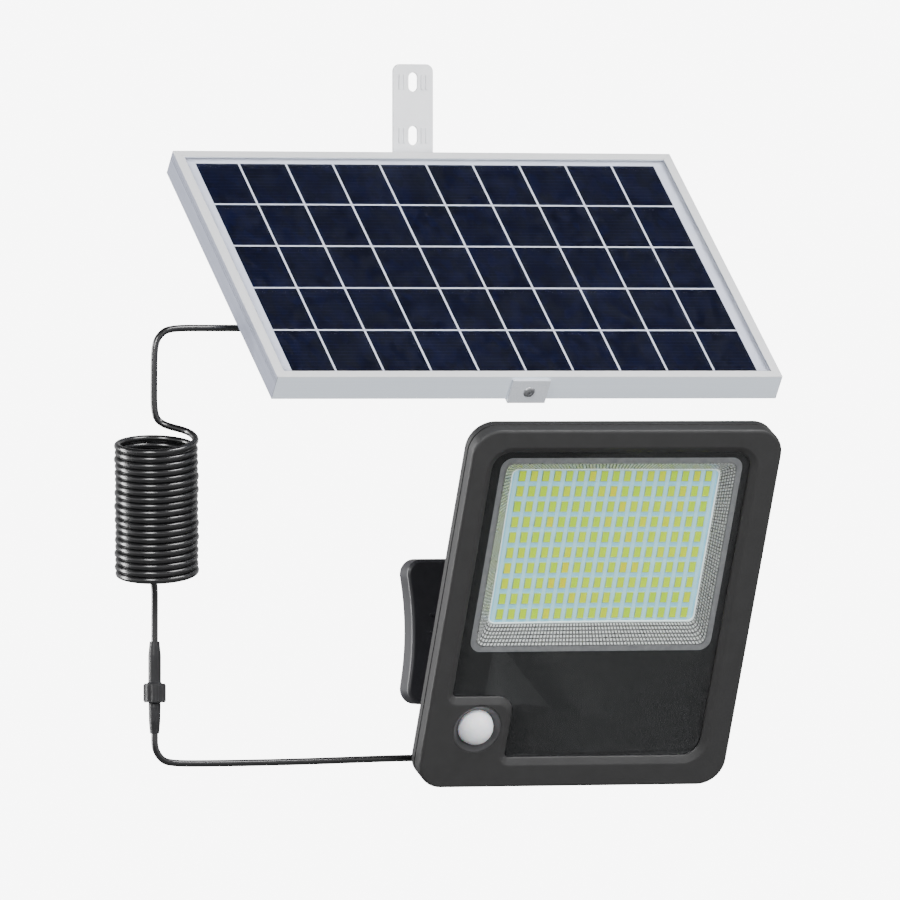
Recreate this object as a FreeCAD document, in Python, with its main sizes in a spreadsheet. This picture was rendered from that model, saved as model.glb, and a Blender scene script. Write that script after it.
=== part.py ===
import FreeCAD, Part
import math
import os

import Sketcher
from FreeCAD import Vector

# Wall-mounted solar flood light: a tilting solar panel on its own strap bracket, a tilting flood
# lamp on a wall plate, and the coiled cord with a screw-lock connector that joins them.
# Row frame: the wall is the plane Y = 0, both brackets sit on it, everything else is at -Y, +Z is up
# and the origin is the middle of the lamp's wall plate.  Lengths are millimetres.

doc = FreeCAD.newDocument("solar_flood_light")
sheet = doc.addObject("Spreadsheet::Sheet", "sizes")


class Size:
    """A number together with the sheet expression that gives it."""

    def __init__(self, number, text):
        self.number = float(number)
        self.text = text

    def __add__(self, other):
        return joined(self, "+", other, self.number + plain(other))

    def __radd__(self, other):
        return joined(other, "+", self, plain(other) + self.number)

    def __sub__(self, other):
        return joined(self, "-", other, self.number - plain(other))

    def __rsub__(self, other):
        return joined(other, "-", self, plain(other) - self.number)

    def __mul__(self, other):
        return joined(self, "*", other, self.number * plain(other))

    def __rmul__(self, other):
        return joined(other, "*", self, plain(other) * self.number)

    def __truediv__(self, other):
        return joined(self, "/", other, self.number / plain(other))

    def __neg__(self):
        return joined(0, "-", self, -self.number)


def plain(amount):
    return amount.number if isinstance(amount, Size) else float(amount)


def words(amount):
    return amount.text if isinstance(amount, Size) else repr(float(amount))


def joined(left, sign, right, number):
    return Size(number, "(%s %s %s)" % (words(left), sign, words(right)))


class Sheet:
    """The driving dimensions: every one is a cell of the sheet and an attribute here."""

    def __init__(self):
        self.rows = 0

    def put(self, **cells):
        for name, number in cells.items():
            self.rows += 1
            sheet.set("A%d" % self.rows, name)
            sheet.set("B%d" % self.rows, str(number))
            sheet.setAlias("B%d" % self.rows, name)
            setattr(self, name, Size(number, "sizes." + name))


S = Sheet()

# Where the two tilting heads stand.
S.put(panel_x=-72.7, panel_hinge_out=117.9, panel_hinge_up=198, panel_tilt=38.3,
      lamp_hinge_out=85, lamp_tilt=24.3)

# Solar panel: frame, laminate and the strap across its back.
S.put(panel_width=350, panel_height=236, frame_depth=18, panel_rise=31.05, frame_back=11,
      rail_wall=1.4, lip_width=6, lip_thick=1.2, slot_floor=12.4, shelf_thick=1.2,
      flange_width=12, mitre_gap=0.1, key_leg=26, key_thick=3, key_high=9,
      glass_thick=3, glass_gap=1, backsheet_thick=0.4, film_thick=0.6, tape_thick=0.4,
      cell_columns=10, cell_rows=5, cell_wide=31.4, cell_tall=42.4, cell_gap=1.4,
      edge_cell_wide=29.4, cell_thick=0.3)
S.put(box_x=-75, box_wide=60, box_tall=52, box_wall=2, box_lid_thick=2.5, box_floor=-6.5,
      gland_radius=7, gland_length=18, cord_diameter=4.4, box_screw_inset=5,
      strap_wide=26, strap_thick=2, tab_high=16, ear_gap=8.7, ear_thick=2, ear_radius=8,
      ear_foot=11, hinge_clearance=0.075, washer_thick=0.9, washer_radius=6.2, screw_head=4,
      screw_head_high=1.8, tab_screw_rise=7, tab_screw_radius=0.9, tab_screw_length=4,
      seal_thick=0.6, lid_screw_head=2.8, lid_screw_head_high=1.4, lid_screw_radius=1.5,
      lid_screw_length=6, terminal_long=28, terminal_wide=9, terminal_high=10, terminal_gap=10,
      diode_radius=2.5, diode_length=12, diode_offset=20)

# Panel's wall strap and arm, with its hinge bolt.
S.put(wall_strap_wide=28, wall_strap_thick=2, wall_strap_top=371, wall_strap_corner=5,
      slot_upper=359.3, slot_spacing=35, slot_wide=6.5, slot_length=12.5, bead_wide=1.5, bead_high=0.8,
      bead_length=10, bead_inner=6.2, bead_outer=9.4, arm_web_end=88, arm_high=8,
      panel_bolt_radius=3, bolt_head_across=10, bolt_head_high=4, panel_bolt_reach=25,
      wing_radius=5.5, wing_thick=6, wing_span=13, wing_plate=2)

# Lamp head: bezel, glass, light engine and sensor.  Depths are measured forward from the hinge.
S.put(lamp_width=216, lamp_height=254.5, lamp_corner=18, lamp_rise=39.5, lamp_front=48,
      bezel_back=38.8, lip_back=44, opening_left=-92, opening_right=88.5, opening_bottom=-106.8,
      opening_top=110.5, opening_corner=12, notch_right=-48.5, notch_top=-63, notch_corner=7,
      opening_inner_corner=3, bezel_chamfer=4.6, bezel_chamfer_deep=2.8, rebate=3.5, glass_play=0.5,
      lamp_glass_thick=3, ink_thick=0.2, window_half=84.5, window_bottom=-32.5, window_top=105.2,
      window_corner=8)
S.put(reflector_half=80.6, reflector_bottom=-28.6, reflector_top=101.2, reflector_flange=5,
      reflector_flange_thick=1.2, board_half=71.4, board_bottom=-14.5, board_top=94.3, board_face=34,
      board_thick=1.6, board_margin=3, spreader_thick=2, spreader_half=80, led_columns=17, led_rows=10,
      led_pitch_across=8, led_pitch_up=10.8, led_wide=3.6, led_tall=5.6, led_high=0.9,
      led_middle=40.6)
S.put(sensor_x=-72, sensor_up=-85, dome_radius=12, dome_wall=1, dome_base=43.5, collar_radius=16.4,
      collar_bore=12.2, collar_back=41.2, collar_seat=44.3, collar_rim=0.5, bore_play=0.1,
      can_radius=4.1, can_high=4, sensor_board_side=30, sensor_board_thick=1.2, sensor_board_back=36)

# Lamp head: rear housing, what it holds, and the hinge lugs.
S.put(rim_back=33, rim_front=38, step_half=98, step_low=-119, step_high=119, step_back=28,
      deep_half=75, deep_low=-122, deep_high=108, deep_back=10.5, deep_corner=14, housing_wall=3,
      tray_floor=30.4, deep_floor=13, fin_thick=2, fin_high=4, fin_pitch=8, fin_first=34, fin_count=5,
      fin_low=-20, fin_top=90, lug_inner=13.3, lug_thick=8, lug_radius=9, lug_foot=14,
      lamp_bolt_radius=4, lamp_bolt_across=13, lamp_bolt_head=5, lamp_washer=1, lamp_bolt_reach=36,
      knob_radius=9.8, knob_thick=12, knob_lobes=6, knob_lobe_radius=2.6,
      rim_screw_inset=5, rim_screw_radius=1.5, rim_screw_head=2.8, rim_screw_head_high=1.8,
      rim_screw_depth=6, lamp_washer_radius=8)
S.put(battery_radius=9.2, battery_length=65, battery_pitch=19.6, battery_first=-62, battery_depth=23.2,
      battery_offset=34, holder_thick=2, control_wide=116, control_tall=84, control_up=20,
      control_back=14.5, control_thick=1.6, lamp_gland_up=-77.7, lamp_gland_depth=23.2,
      lamp_gland_radius=5, lamp_gland_length=18, gland_boss=14, lead_cut=-112,
      switch_x=35, switch_depth=19.5, button_radius=5, button_play=0.3, button_out=4,
      boot_radius=8, boot_thick=2, switch_side=12, switch_high=5.5, button_travel=1.5)

# Lamp's wall plate and its arm.
S.put(plate_wide=166, plate_tall=95, plate_deep=14.6, plate_corner=10, plate_waist=7,
      waist_radius=200, plate_skin=3, plate_edge=2.5, boss_radius=6, hole_radius=2.75,
      hole_across=55, hole_up=28, rib_spacing=11.4, rib_wide=1.6, rib_high=1.4, rib_start=22,
      rib_end=66, arm_half=13, arm_root=24, arm_taper_end=50, arm_end=9, arm_end_corner=8.9)

# Cord: coil and connector.
S.put(coil_x=-302, coil_y=-130.9, coil_up=83.2, coil_radius=24.65, coil_lean=13, coil_turn=-22.2,
      coil_turns=20, coil_pitch=4.45, plug_x=-289.2, plug_y=-94, plug_top=-3, plug_nut_top=-29,
      plug_nut_bottom=-42, plug_end=-62, plug_neck=3.2, plug_body_radius=4.1, plug_thread=5.1,
      nut_bore=5.2, nut_radius=7.4, nut_ribs=12, plug_joint=-36, plug_nose=3.1, socket_bore=3.9,
      plug_nose_end=-40, pin_radius=0.5, pin_reach=4, pin_offset=1.4, socket_neck=3)

doc.recompute()
os.makedirs("parts", exist_ok=True)


# ---- Frames and placements ---------------------------------------------------------------

def place_text(base, axis, angle):
    """The sheet expression of a placement: a base point, and a turn about an axis."""
    spot = "create(<<vector>>; %s; %s; %s)" % tuple(words(part) for part in base)
    line = "create(<<vector>>; %s; %s; %s)" % tuple(words(part) for part in axis)
    return "create(<<placement>>; %s; create(<<rotation>>; %s; %s))" % (spot, line, words(angle))


ALONG_X = (1, 0, 0)
ALONG_Y = (0, 1, 0)
ALONG_Z = (0, 0, 1)

# Each head has a frame at its hinge: x to the right, y up its face, z out of its front.
ROW = place_text((0, 0, 0), ALONG_Z, 0)
WALL = place_text((0, 0, 0), ALONG_X, 90)
PANEL = place_text((S.panel_x, -S.panel_hinge_out, S.panel_hinge_up), ALONG_X, S.panel_tilt)
LAMP = place_text((0, -S.lamp_hinge_out, 0), ALONG_X, 90 + S.lamp_tilt)
STRAP = place_text((S.panel_x, 0, 0), ALONG_X, 90)
# The coil's axis leans towards the viewer's side, so its frame is turned and then tipped.
COIL = (place_text((S.coil_x, S.coil_y, S.coil_up), ALONG_Z, S.coil_turn)
        + " * " + place_text((0, 0, 0), ALONG_X, S.coil_lean))
PLUG = place_text((S.plug_x, S.plug_y, 0), ALONG_Z, 0)

sub_parts = []


def finished(piece, name, frame, at=(0, 0, 0), axis=ALONG_Z, angle=0):
    """Name a sub-part, put it in its frame and list it for writing."""
    piece.Label = name
    piece.setExpression("Placement", frame + " * " + place_text(at, axis, angle))
    sub_parts.append(piece)
    return piece


# ---- Sketch outlines ---------------------------------------------------------------------

def dimension(sketch, kind, target, amount):
    index = sketch.addConstraint(Sketcher.Constraint(kind, *target, plain(amount)))
    if isinstance(amount, Size):
        sketch.setExpression("Constraints[%d]" % index, amount.text)


def pin_point(sketch, geometry, point, x, y):
    dimension(sketch, "DistanceX", (-1, 1, geometry, point), x)
    dimension(sketch, "DistanceY", (-1, 1, geometry, point), y)


def draw_circle(sketch, x, y, radius):
    centre = Vector(plain(x), plain(y), 0)
    ring = sketch.addGeometry(Part.Circle(centre, Vector(0, 0, 1), plain(radius)), False)
    dimension(sketch, "Radius", (ring,), radius)
    pin_point(sketch, ring, 3, x, y)


def draw_outline(sketch, corners):
    """A closed outline of (x, y, radius) corners; a radius of 0 is a sharp corner."""
    spots = [Vector(plain(x), plain(y), 0) for x, y, _ in corners]
    count = len(corners)
    starts = []
    ends = []
    arcs = []
    for index, (_, _, radius) in enumerate(corners):
        spot = spots[index]
        back = (spots[index - 1] - spot).normalize()
        ahead = (spots[(index + 1) % count] - spot).normalize()
        if plain(radius) == 0:
            ends.append(spot)
            starts.append(spot)
            arcs.append(None)
            continue
        half = back.getAngle(ahead) / 2
        reach = plain(radius) / math.tan(half)
        middle = (back + ahead).normalize()
        centre = spot + middle * (plain(radius) / math.sin(half))
        ends.append(spot + back * reach)
        starts.append(spot + ahead * reach)
        arcs.append((centre - middle * plain(radius), back.cross(ahead).z < 0))
    lines = []
    for index in range(count):
        run = Part.LineSegment(starts[index], ends[(index + 1) % count])
        lines.append(sketch.addGeometry(run, False))
    for index, (x, y, radius) in enumerate(corners):
        before = lines[index - 1]
        after = lines[index]
        if arcs[index] is None:
            sketch.addConstraint(Sketcher.Constraint("Coincident", before, 2, after, 1))
            pin_point(sketch, after, 1, x, y)
            continue
        middle, left_turn = arcs[index]
        bend = sketch.addGeometry(Part.Arc(ends[index], middle, starts[index]), False)
        first, last = (1, 2) if left_turn else (2, 1)
        sketch.addConstraint(Sketcher.Constraint("Tangent", before, 2, bend, first))
        sketch.addConstraint(Sketcher.Constraint("Tangent", bend, last, after, 1))
        dimension(sketch, "Radius", (bend,), radius)
        corner = sketch.addGeometry(Part.Point(spots[index]), True)
        pin_point(sketch, corner, 1, x, y)
        sketch.addConstraint(Sketcher.Constraint("PointOnObject", corner, 1, before))
        sketch.addConstraint(Sketcher.Constraint("PointOnObject", corner, 1, after))


def rectangle(left, right, low, high, radius=0):
    return [(left, low, radius), (right, low, radius), (right, high, radius), (left, high, radius)]


def middle_rectangle(half_wide, half_tall, radius=0, x=0, y=0):
    return rectangle(x - half_wide, x + half_wide, y - half_tall, y + half_tall, radius)


def hexagon(across, x=0, y=0):
    """A regular hexagon with the given distance across its flats."""
    corner = across / math.sqrt(3)
    turns = [math.radians(60 * step) for step in range(6)]
    return [(x + corner * math.cos(turn), y + corner * math.sin(turn), 0) for turn in turns]


class Body:
    """One PartDesign body, built up from pads, pockets and turned profiles."""

    def __init__(self, name, frame, at=(0, 0, 0), axis=ALONG_Z, angle=0):
        self.body = doc.addObject("PartDesign::Body", name)
        finished(self.body, name, frame, at, axis, angle)

    def sketch(self, plane, level, outlines):
        drawing = self.body.newObject("Sketcher::SketchObject", self.body.Name + "_sketch")
        planes = {item.Role: item for item in self.body.Origin.OriginFeatures}
        drawing.AttachmentSupport = (planes[plane], [""])
        drawing.MapMode = "FlatFace"
        if isinstance(level, Size):
            drawing.setExpression("AttachmentOffset.Base.z", level.text)
        else:
            drawing.AttachmentOffset = FreeCAD.Placement(Vector(0, 0, level), FreeCAD.Rotation())
        for outline in outlines:
            if isinstance(outline, tuple):
                draw_circle(drawing, *outline)
            else:
                draw_outline(drawing, outline)
        return drawing

    def pad(self, outlines, low, high, plane="XY_Plane"):
        drawing = self.sketch(plane, low, outlines)
        feature = self.body.newObject("PartDesign::Pad", self.body.Name + "_pad")
        feature.Profile = drawing
        self.set_length(feature, high - low)
        return self

    def pocket(self, outlines, low, high, plane="XY_Plane"):
        drawing = self.sketch(plane, high, outlines)
        feature = self.body.newObject("PartDesign::Pocket", self.body.Name + "_pocket")
        feature.Profile = drawing
        self.set_length(feature, high - low)
        doc.recompute()
        solid_before = feature.BaseFeature.Shape.Volume
        if feature.Shape.Volume > solid_before - 0.01:
            raise ValueError("a pocket in %s cuts nothing" % self.body.Label)
        return self

    def set_length(self, feature, length):
        if isinstance(length, Size):
            feature.setExpression("Length", length.text)
        else:
            feature.Length = length

    def turn(self, corners, plane, axis):
        drawing = self.sketch(plane, 0, [corners])
        feature = self.body.newObject("PartDesign::Revolution", self.body.Name + "_turn")
        feature.Profile = drawing
        feature.ReferenceAxis = (drawing, [axis])
        feature.Angle = 360
        return self

    def loft_out(self, first, first_level, last, last_level):
        """Cut a loft between two outlines at two levels."""
        start = self.sketch("XY_Plane", first_level, [first])
        finish = self.sketch("XY_Plane", last_level, [last])
        feature = self.body.newObject("PartDesign::SubtractiveLoft", self.body.Name + "_loft")
        feature.Profile = start
        feature.Sections = [finish]
        feature.Ruled = True
        return self

    def edges(self, wanted):
        """Names of the edges so far whose middle point passes the test."""
        doc.recompute()
        shape = self.body.Tip.Shape
        names = []
        for index, edge in enumerate(shape.Edges):
            if wanted(edge):
                names.append("Edge%d" % (index + 1))
        return names

    def chamfer(self, names, wide, deep):
        tip = self.body.Tip
        feature = self.body.newObject("PartDesign::Chamfer", self.body.Name + "_chamfer")
        feature.Base = (tip, names)
        feature.ChamferType = "Two distances"
        feature.setExpression("Size", words(wide))
        feature.setExpression("Size2", words(deep))
        return feature

    def fillet(self, names, radius):
        tip = self.body.Tip
        feature = self.body.newObject("PartDesign::Fillet", self.body.Name + "_fillet")
        feature.Base = (tip, names)
        feature.setExpression("Radius", words(radius))
        return feature


def solids(name, frame, shapes):
    """Several equal or small solids that share one node."""
    piece = doc.addObject("Part::Feature", name)
    piece.Shape = Part.makeCompound(shapes)
    return finished(piece, name, frame)


def block(left, right, low, high, back, front):
    """A plain block between six sides, as a shape."""
    left, right, low, high, back, front = [plain(side) for side in (left, right, low, high, back, front)]
    return Part.makeBox(right - left, high - low, front - back, Vector(left, low, back))


def rod(x, y, z, radius, length, direction):
    """A plain round rod from a point, as a shape."""
    spot = Vector(plain(x), plain(y), plain(z))
    return Part.makeCylinder(plain(radius), plain(length), spot, Vector(*direction))


# ---- Solar panel -------------------------------------------------------------------------

half_panel_wide = S.panel_width / 2
half_panel_tall = S.panel_height / 2
frame_front = S.frame_back + S.frame_depth
shelf_top = S.frame_back + S.slot_floor
glass_half_wide = half_panel_wide - S.rail_wall - S.glass_gap
glass_half_tall = half_panel_tall - S.rail_wall - S.glass_gap


def frame_rail(name, length, x, y, angle):
    """A hollow extruded rail with its lip, glass slot and back flange, mitred at both ends."""
    rail = Body(name, PANEL, (x, S.panel_rise + y, 0), ALONG_Z, angle)
    back = S.frame_back
    lip_bottom = frame_front - S.lip_thick
    shelf_bottom = shelf_top - S.shelf_thick
    profile = [(0, back, 0), (S.flange_width, back, 0), (S.flange_width, back + S.rail_wall, 0),
               (S.lip_width, back + S.rail_wall, 0), (S.lip_width, shelf_top, 0),
               (S.rail_wall, shelf_top, 0), (S.rail_wall, lip_bottom, 0),
               (S.lip_width, lip_bottom, 0), (S.lip_width, frame_front, 0), (0, frame_front, 0)]
    chamber = rectangle(S.rail_wall, S.lip_width - S.rail_wall, back + S.rail_wall, shelf_bottom)
    rail.pad([profile, chamber], -length / 2, length / 2, "YZ_Plane")
    reach = 20
    gap = S.mitre_gap / 2
    for side in (-1, 1):
        tip = side * (length / 2)
        corner = [(tip - side * gap, 0, 0), (tip + side, -1, 0), (tip + side, reach, 0),
                  (tip - side * (reach + gap), reach, 0)]
        rail.pocket([corner], 0, frame_front + 1)


frame_rail("frame_rail_bottom", S.panel_width, 0, -half_panel_tall, 0)
frame_rail("frame_rail_top", S.panel_width, 0, half_panel_tall, 180)
frame_rail("frame_rail_right", S.panel_height, half_panel_wide, 0, 90)
frame_rail("frame_rail_left", S.panel_height, -half_panel_wide, 0, -90)


def corner_key(side_x, side_y):
    """An L-shaped key in the hollow of two rails, inside their corner."""
    start = plain(S.rail_wall) + 0.1
    leg = plain(S.key_leg)
    thick = plain(S.key_thick)
    low = plain(S.frame_back + S.rail_wall) + 0.3
    high = low + plain(S.key_high)
    across = block(start, start + leg, start, start + thick, low, high)
    upward = block(start, start + thick, start, start + leg, low, high)
    key = across.fuse(upward).removeSplitter()
    turn = FreeCAD.Rotation(Vector(0, 0, 1), {(1, 1): 0, (-1, 1): 90, (-1, -1): 180, (1, -1): 270}[
        (side_x, side_y)])
    spot = Vector(-side_x * plain(half_panel_wide), plain(S.panel_rise) - side_y * plain(half_panel_tall), 0)
    key.Placement = FreeCAD.Placement(spot, turn)
    return key


solids("frame_corner_keys", PANEL, [corner_key(x, y) for x in (-1, 1) for y in (-1, 1)])

panel_middle = (0, S.panel_rise, 0)
backsheet_top = shelf_top + S.backsheet_thick
film_top = backsheet_top + S.film_thick
glass_top = film_top + S.glass_thick
lip_bottom = frame_front - S.lip_thick

backsheet = Body("backsheet", PANEL, panel_middle)
backsheet.pad([middle_rectangle(glass_half_wide, glass_half_tall)], shelf_top, backsheet_top)
backsheet.pocket([middle_rectangle(10, 5, 0, S.box_x, -S.panel_rise)], shelf_top, backsheet_top)

glass = Body("panel_glass", PANEL, panel_middle)
glass.pad([middle_rectangle(glass_half_wide, glass_half_tall, 1.5)], film_top, glass_top)

gasket = Body("glass_gasket", PANEL, panel_middle)
gasket.pad([middle_rectangle(glass_half_wide, glass_half_tall),
            middle_rectangle(glass_half_wide - 3, glass_half_tall - 3)], glass_top, lip_bottom)


def cell_spots():
    """The left, right, low and high sides of every cell, about the panel's middle."""
    columns = int(plain(S.cell_columns))
    rows = int(plain(S.cell_rows))
    gap = plain(S.cell_gap)
    widths = [plain(S.cell_wide)] * columns
    widths[0] = widths[-1] = plain(S.edge_cell_wide)
    tall = plain(S.cell_tall)
    left = -(sum(widths) + gap * (columns - 1)) / 2
    bottom = -(tall * rows + gap * (rows - 1)) / 2
    spots = []
    for width in widths:
        for row in range(rows):
            low = bottom + row * (tall + gap)
            spots.append((left, left + width, low, low + tall))
        left += width + gap
    return spots


rise = plain(S.panel_rise)
cells = [block(a, b, c + rise, d + rise, film_top - S.cell_thick, film_top) for a, b, c, d in cell_spots()]
solids("solar_cells", PANEL, cells)
film = block(-glass_half_wide, glass_half_wide, S.panel_rise - glass_half_tall,
             S.panel_rise + glass_half_tall, backsheet_top, film_top)
solids("encapsulant", PANEL, [film.cut(Part.makeCompound(cells))])

# Junction box on the backsheet, with its gland on the hinge axis.
box_left = S.box_x - S.box_wide / 2
box_right = S.box_x + S.box_wide / 2
box_half = S.box_tall / 2
junction = Body("junction_box_base", PANEL)
junction.pad([rectangle(box_left, box_right, -box_half, box_half, 5)], S.box_floor, shelf_top)
junction.pocket([rectangle(box_left + S.box_wall, box_right - S.box_wall, -box_half + S.box_wall,
                           box_half - S.box_wall, 3)], S.box_floor, shelf_top - S.box_wall)
junction.pocket([(0, 0, S.gland_radius - 2)], box_left - 1, box_left + S.box_wall + 1, "YZ_Plane")

lid_top = S.box_floor - S.seal_thick
lid_bottom = lid_top - S.box_lid_thick
box_seal = Body("junction_box_seal", PANEL)
box_seal.pad([rectangle(box_left, box_right, -box_half, box_half, 5),
              rectangle(box_left + S.box_wall, box_right - S.box_wall, -box_half + S.box_wall,
                        box_half - S.box_wall, 3)], lid_top, S.box_floor)
box_lid = Body("junction_box_lid", PANEL)
box_lid.pad([rectangle(box_left, box_right, -box_half, box_half, 5)], lid_bottom, lid_top)
screw_x = [box_left + S.box_screw_inset, box_right - S.box_screw_inset]
screw_y = [-box_half + S.box_screw_inset, box_half - S.box_screw_inset]
box_lid.pocket([(x, y, 1.6) for x in screw_x for y in screw_y], lid_bottom, lid_top)
solids("junction_box_screws", PANEL,
       [rod(x, y, lid_bottom - S.lid_screw_head_high, S.lid_screw_head, S.lid_screw_head_high, ALONG_Z).fuse(
        rod(x, y, lid_bottom, S.lid_screw_radius, S.lid_screw_length, ALONG_Z))
        for x in screw_x for y in screw_y])
box_ceiling = shelf_top - S.box_wall
solids("junction_terminals", PANEL,
       [block(S.box_x - S.terminal_long / 2, S.box_x + S.terminal_long / 2, low, low + S.terminal_wide,
              box_ceiling - S.terminal_high, box_ceiling)
        for low in (-S.terminal_gap / 2 - S.terminal_wide, S.terminal_gap / 2)])
solids("bypass_diode", PANEL,
       [rod(S.box_x + S.diode_offset, -S.diode_length / 2, box_ceiling - S.diode_radius - 1,
            S.diode_radius, S.diode_length, ALONG_Y)])

panel_gland = Body("panel_gland", PANEL)
gland_tip = box_left - S.gland_length
cord_radius = S.cord_diameter / 2
panel_gland.pad([hexagon(2 * S.gland_radius - 1), (0, 0, cord_radius)], box_left - 6, box_left, "YZ_Plane")
panel_gland.pad([(0, 0, S.gland_radius - 2), (0, 0, cord_radius)], box_left, box_left + 4, "YZ_Plane")
panel_gland.turn([(box_left - 6, cord_radius, 0), (gland_tip, cord_radius, 0),
                  (gland_tip, cord_radius + 1.4, 0), (box_left - 13, S.gland_radius - 1.5, 0),
                  (box_left - 6, S.gland_radius - 0.6, 0)], "XY_Plane", "H_Axis")
panel_lead_end = doc.addObject("Part::Cylinder", "panel_lead_end")
panel_lead_end.setExpression("Radius", cord_radius.text)
panel_lead_end.setExpression("Height", (S.gland_length + 8).text)
finished(panel_lead_end, "panel_lead_end", PANEL, (gland_tip, 0, 0), ALONG_Y, 90)

# Strap across the back of the frame, its folded tabs, and the two ears that carry the hinge bolt.
strap_back = S.frame_back - S.strap_thick
strap_low = S.panel_rise - half_panel_tall
strap_high = S.panel_rise + half_panel_tall
crossbar = Body("panel_crossbar", PANEL)
crossbar.pad([rectangle(-S.strap_wide / 2, S.strap_wide / 2, strap_low - S.strap_thick,
                        strap_high + S.strap_thick)], strap_back, S.frame_back)
for low, high in ((strap_low - S.strap_thick, strap_low), (strap_high, strap_high + S.strap_thick)):
    crossbar.pad([rectangle(-S.strap_wide / 2, S.strap_wide / 2, low, high)],
                 S.frame_back, S.frame_back + S.tab_high)
ear = [(-S.ear_foot, S.frame_back - 1, 0), (-S.ear_radius, -S.ear_radius, S.ear_radius - 0.1),
       (S.ear_radius, -S.ear_radius, S.ear_radius - 0.1), (S.ear_foot, S.frame_back - 1, 0)]
bolt_bore = S.panel_bolt_radius + S.hinge_clearance
for inner in (S.ear_gap, -S.ear_gap - S.ear_thick):
    crossbar.pad([ear, (0, 0, bolt_bore)], inner, inner + S.ear_thick, "YZ_Plane")

tab_screw_z = S.frame_back + S.tab_screw_rise
solids("crossbar_screws", PANEL,
       [rod(0, end, tab_screw_z, S.screw_head, S.screw_head_high, (0, -side, 0)).fuse(
        rod(0, end, tab_screw_z, S.tab_screw_radius, S.tab_screw_length, (0, side, 0)))
        for end, side in ((strap_low - S.strap_thick, 1), (strap_high + S.strap_thick, -1))])

washer_start = S.ear_gap + S.ear_thick
washers = [rod(start, 0, 0, S.washer_radius, S.washer_thick, ALONG_X).cut(
           rod(start - 1, 0, 0, bolt_bore, 4, ALONG_X))
           for start in (washer_start, -washer_start - S.washer_thick)]
solids("hinge_friction_washers", PANEL, washers)

# ---- Panel's wall strap: root --------------------------------------------------------------

half_strap = S.wall_strap_wide / 2
arm_low = S.panel_hinge_up - S.arm_high
wall_strap = Body("panel_wall_strap", STRAP)
slots = []
for centre in (S.slot_upper, S.slot_upper - S.slot_spacing):
    slots.append(middle_rectangle(S.slot_wide / 2, S.slot_length / 2, S.slot_wide / 2 - 0.02, 0, centre))
wall_strap.pad([[(-half_strap, arm_low, 0), (half_strap, arm_low, 0),
                 (half_strap, S.wall_strap_top, S.wall_strap_corner),
                 (-half_strap, S.wall_strap_top, S.wall_strap_corner)]] + slots, 0, S.wall_strap_thick)
beads = []
for centre in (S.slot_upper, S.slot_upper - S.slot_spacing):
    for edge in (S.bead_inner, S.bead_outer, -S.bead_inner, -S.bead_outer):
        beads.append(middle_rectangle(S.bead_wide / 2, S.bead_length / 2, 0.6, edge, centre))
wall_strap.pad(beads, S.wall_strap_thick - 0.2, S.wall_strap_thick + S.bead_high)
wall_strap.pad([rectangle(-half_strap, half_strap, arm_low - S.wall_strap_thick, arm_low)],
               0, S.arm_web_end)
arm_tip = S.panel_hinge_out + S.arm_high
cheek = [(arm_low - S.wall_strap_thick, 0, 0), (S.panel_hinge_up + S.arm_high, 0, 0),
         (S.panel_hinge_up + S.arm_high, arm_tip, S.arm_high - 0.1),
         (arm_low, arm_tip, S.arm_high - 0.1), (arm_low, S.arm_web_end + 6, 0),
         (arm_low - S.wall_strap_thick, S.arm_web_end, 0)]
for inner in (-half_strap, half_strap - S.wall_strap_thick):
    wall_strap.pad([cheek, (S.panel_hinge_up, S.panel_hinge_out, S.panel_bolt_radius)],
                   inner, inner + S.wall_strap_thick, "YZ_Plane")

hinge_spot = (0, S.panel_hinge_up, S.panel_hinge_out)
panel_bolt = Body("panel_hinge_bolt", STRAP, hinge_spot)
panel_bolt.pad([hexagon(S.bolt_head_across)], -half_strap - S.bolt_head_high, -half_strap, "YZ_Plane")
panel_bolt.pad([(0, 0, S.panel_bolt_radius)], -half_strap, S.panel_bolt_reach, "YZ_Plane")

wing_start = half_strap + 0.3
wing_nut = Body("panel_wing_nut", STRAP, hinge_spot)
wing_bore = S.panel_bolt_radius + 0.1
wing_nut.pad([(0, 0, S.wing_radius), (0, 0, wing_bore)], wing_start, wing_start + S.wing_thick, "YZ_Plane")
for side in (1, -1):
    wing = [(side * wing_bore * 1.15, -S.wing_plate / 2, 0), (side * S.wing_span, -S.wing_plate / 2, 0.9),
            (side * S.wing_span, S.wing_plate / 2, 0.9), (side * wing_bore * 1.15, S.wing_plate / 2, 0)]
    wing_nut.pad([wing], wing_start + 2, wing_start + S.wing_thick + 6, "YZ_Plane")

# ---- Lamp head -----------------------------------------------------------------------------

half_lamp_wide = S.lamp_width / 2
half_lamp_tall = S.lamp_height / 2
face_middle = (0, S.lamp_rise, 0)


def opening(grow, radius, inner_radius):
    """The front opening with its notch for the sensor, grown by a margin on every side."""
    left = S.opening_left - grow
    right = S.opening_right + grow
    low = S.opening_bottom - grow
    high = S.opening_top + grow
    notch_x = S.notch_right - grow
    notch_y = S.notch_top - grow
    return [(notch_x, low, inner_radius), (right, low, radius), (right, high, radius),
            (left, high, radius), (left, notch_y, inner_radius), (notch_x, notch_y, S.notch_corner)]


rim_outline = middle_rectangle(half_lamp_wide, half_lamp_tall, S.lamp_corner)
sensor_hole = (S.sensor_x, S.sensor_up, S.collar_radius + S.bore_play)
rim_screws = [(x, y) for y in (-half_lamp_tall * 0.72, half_lamp_tall * 0.24, half_lamp_tall * 0.72)
              for x in (-half_lamp_wide + S.rim_screw_inset, half_lamp_wide - S.rim_screw_inset)]
rim_screws += [(x, y) for x in (-half_lamp_wide * 0.33, half_lamp_wide * 0.33)
               for y in (-half_lamp_tall + S.rim_screw_inset - 1, half_lamp_tall - S.rim_screw_inset + 1)]

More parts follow.
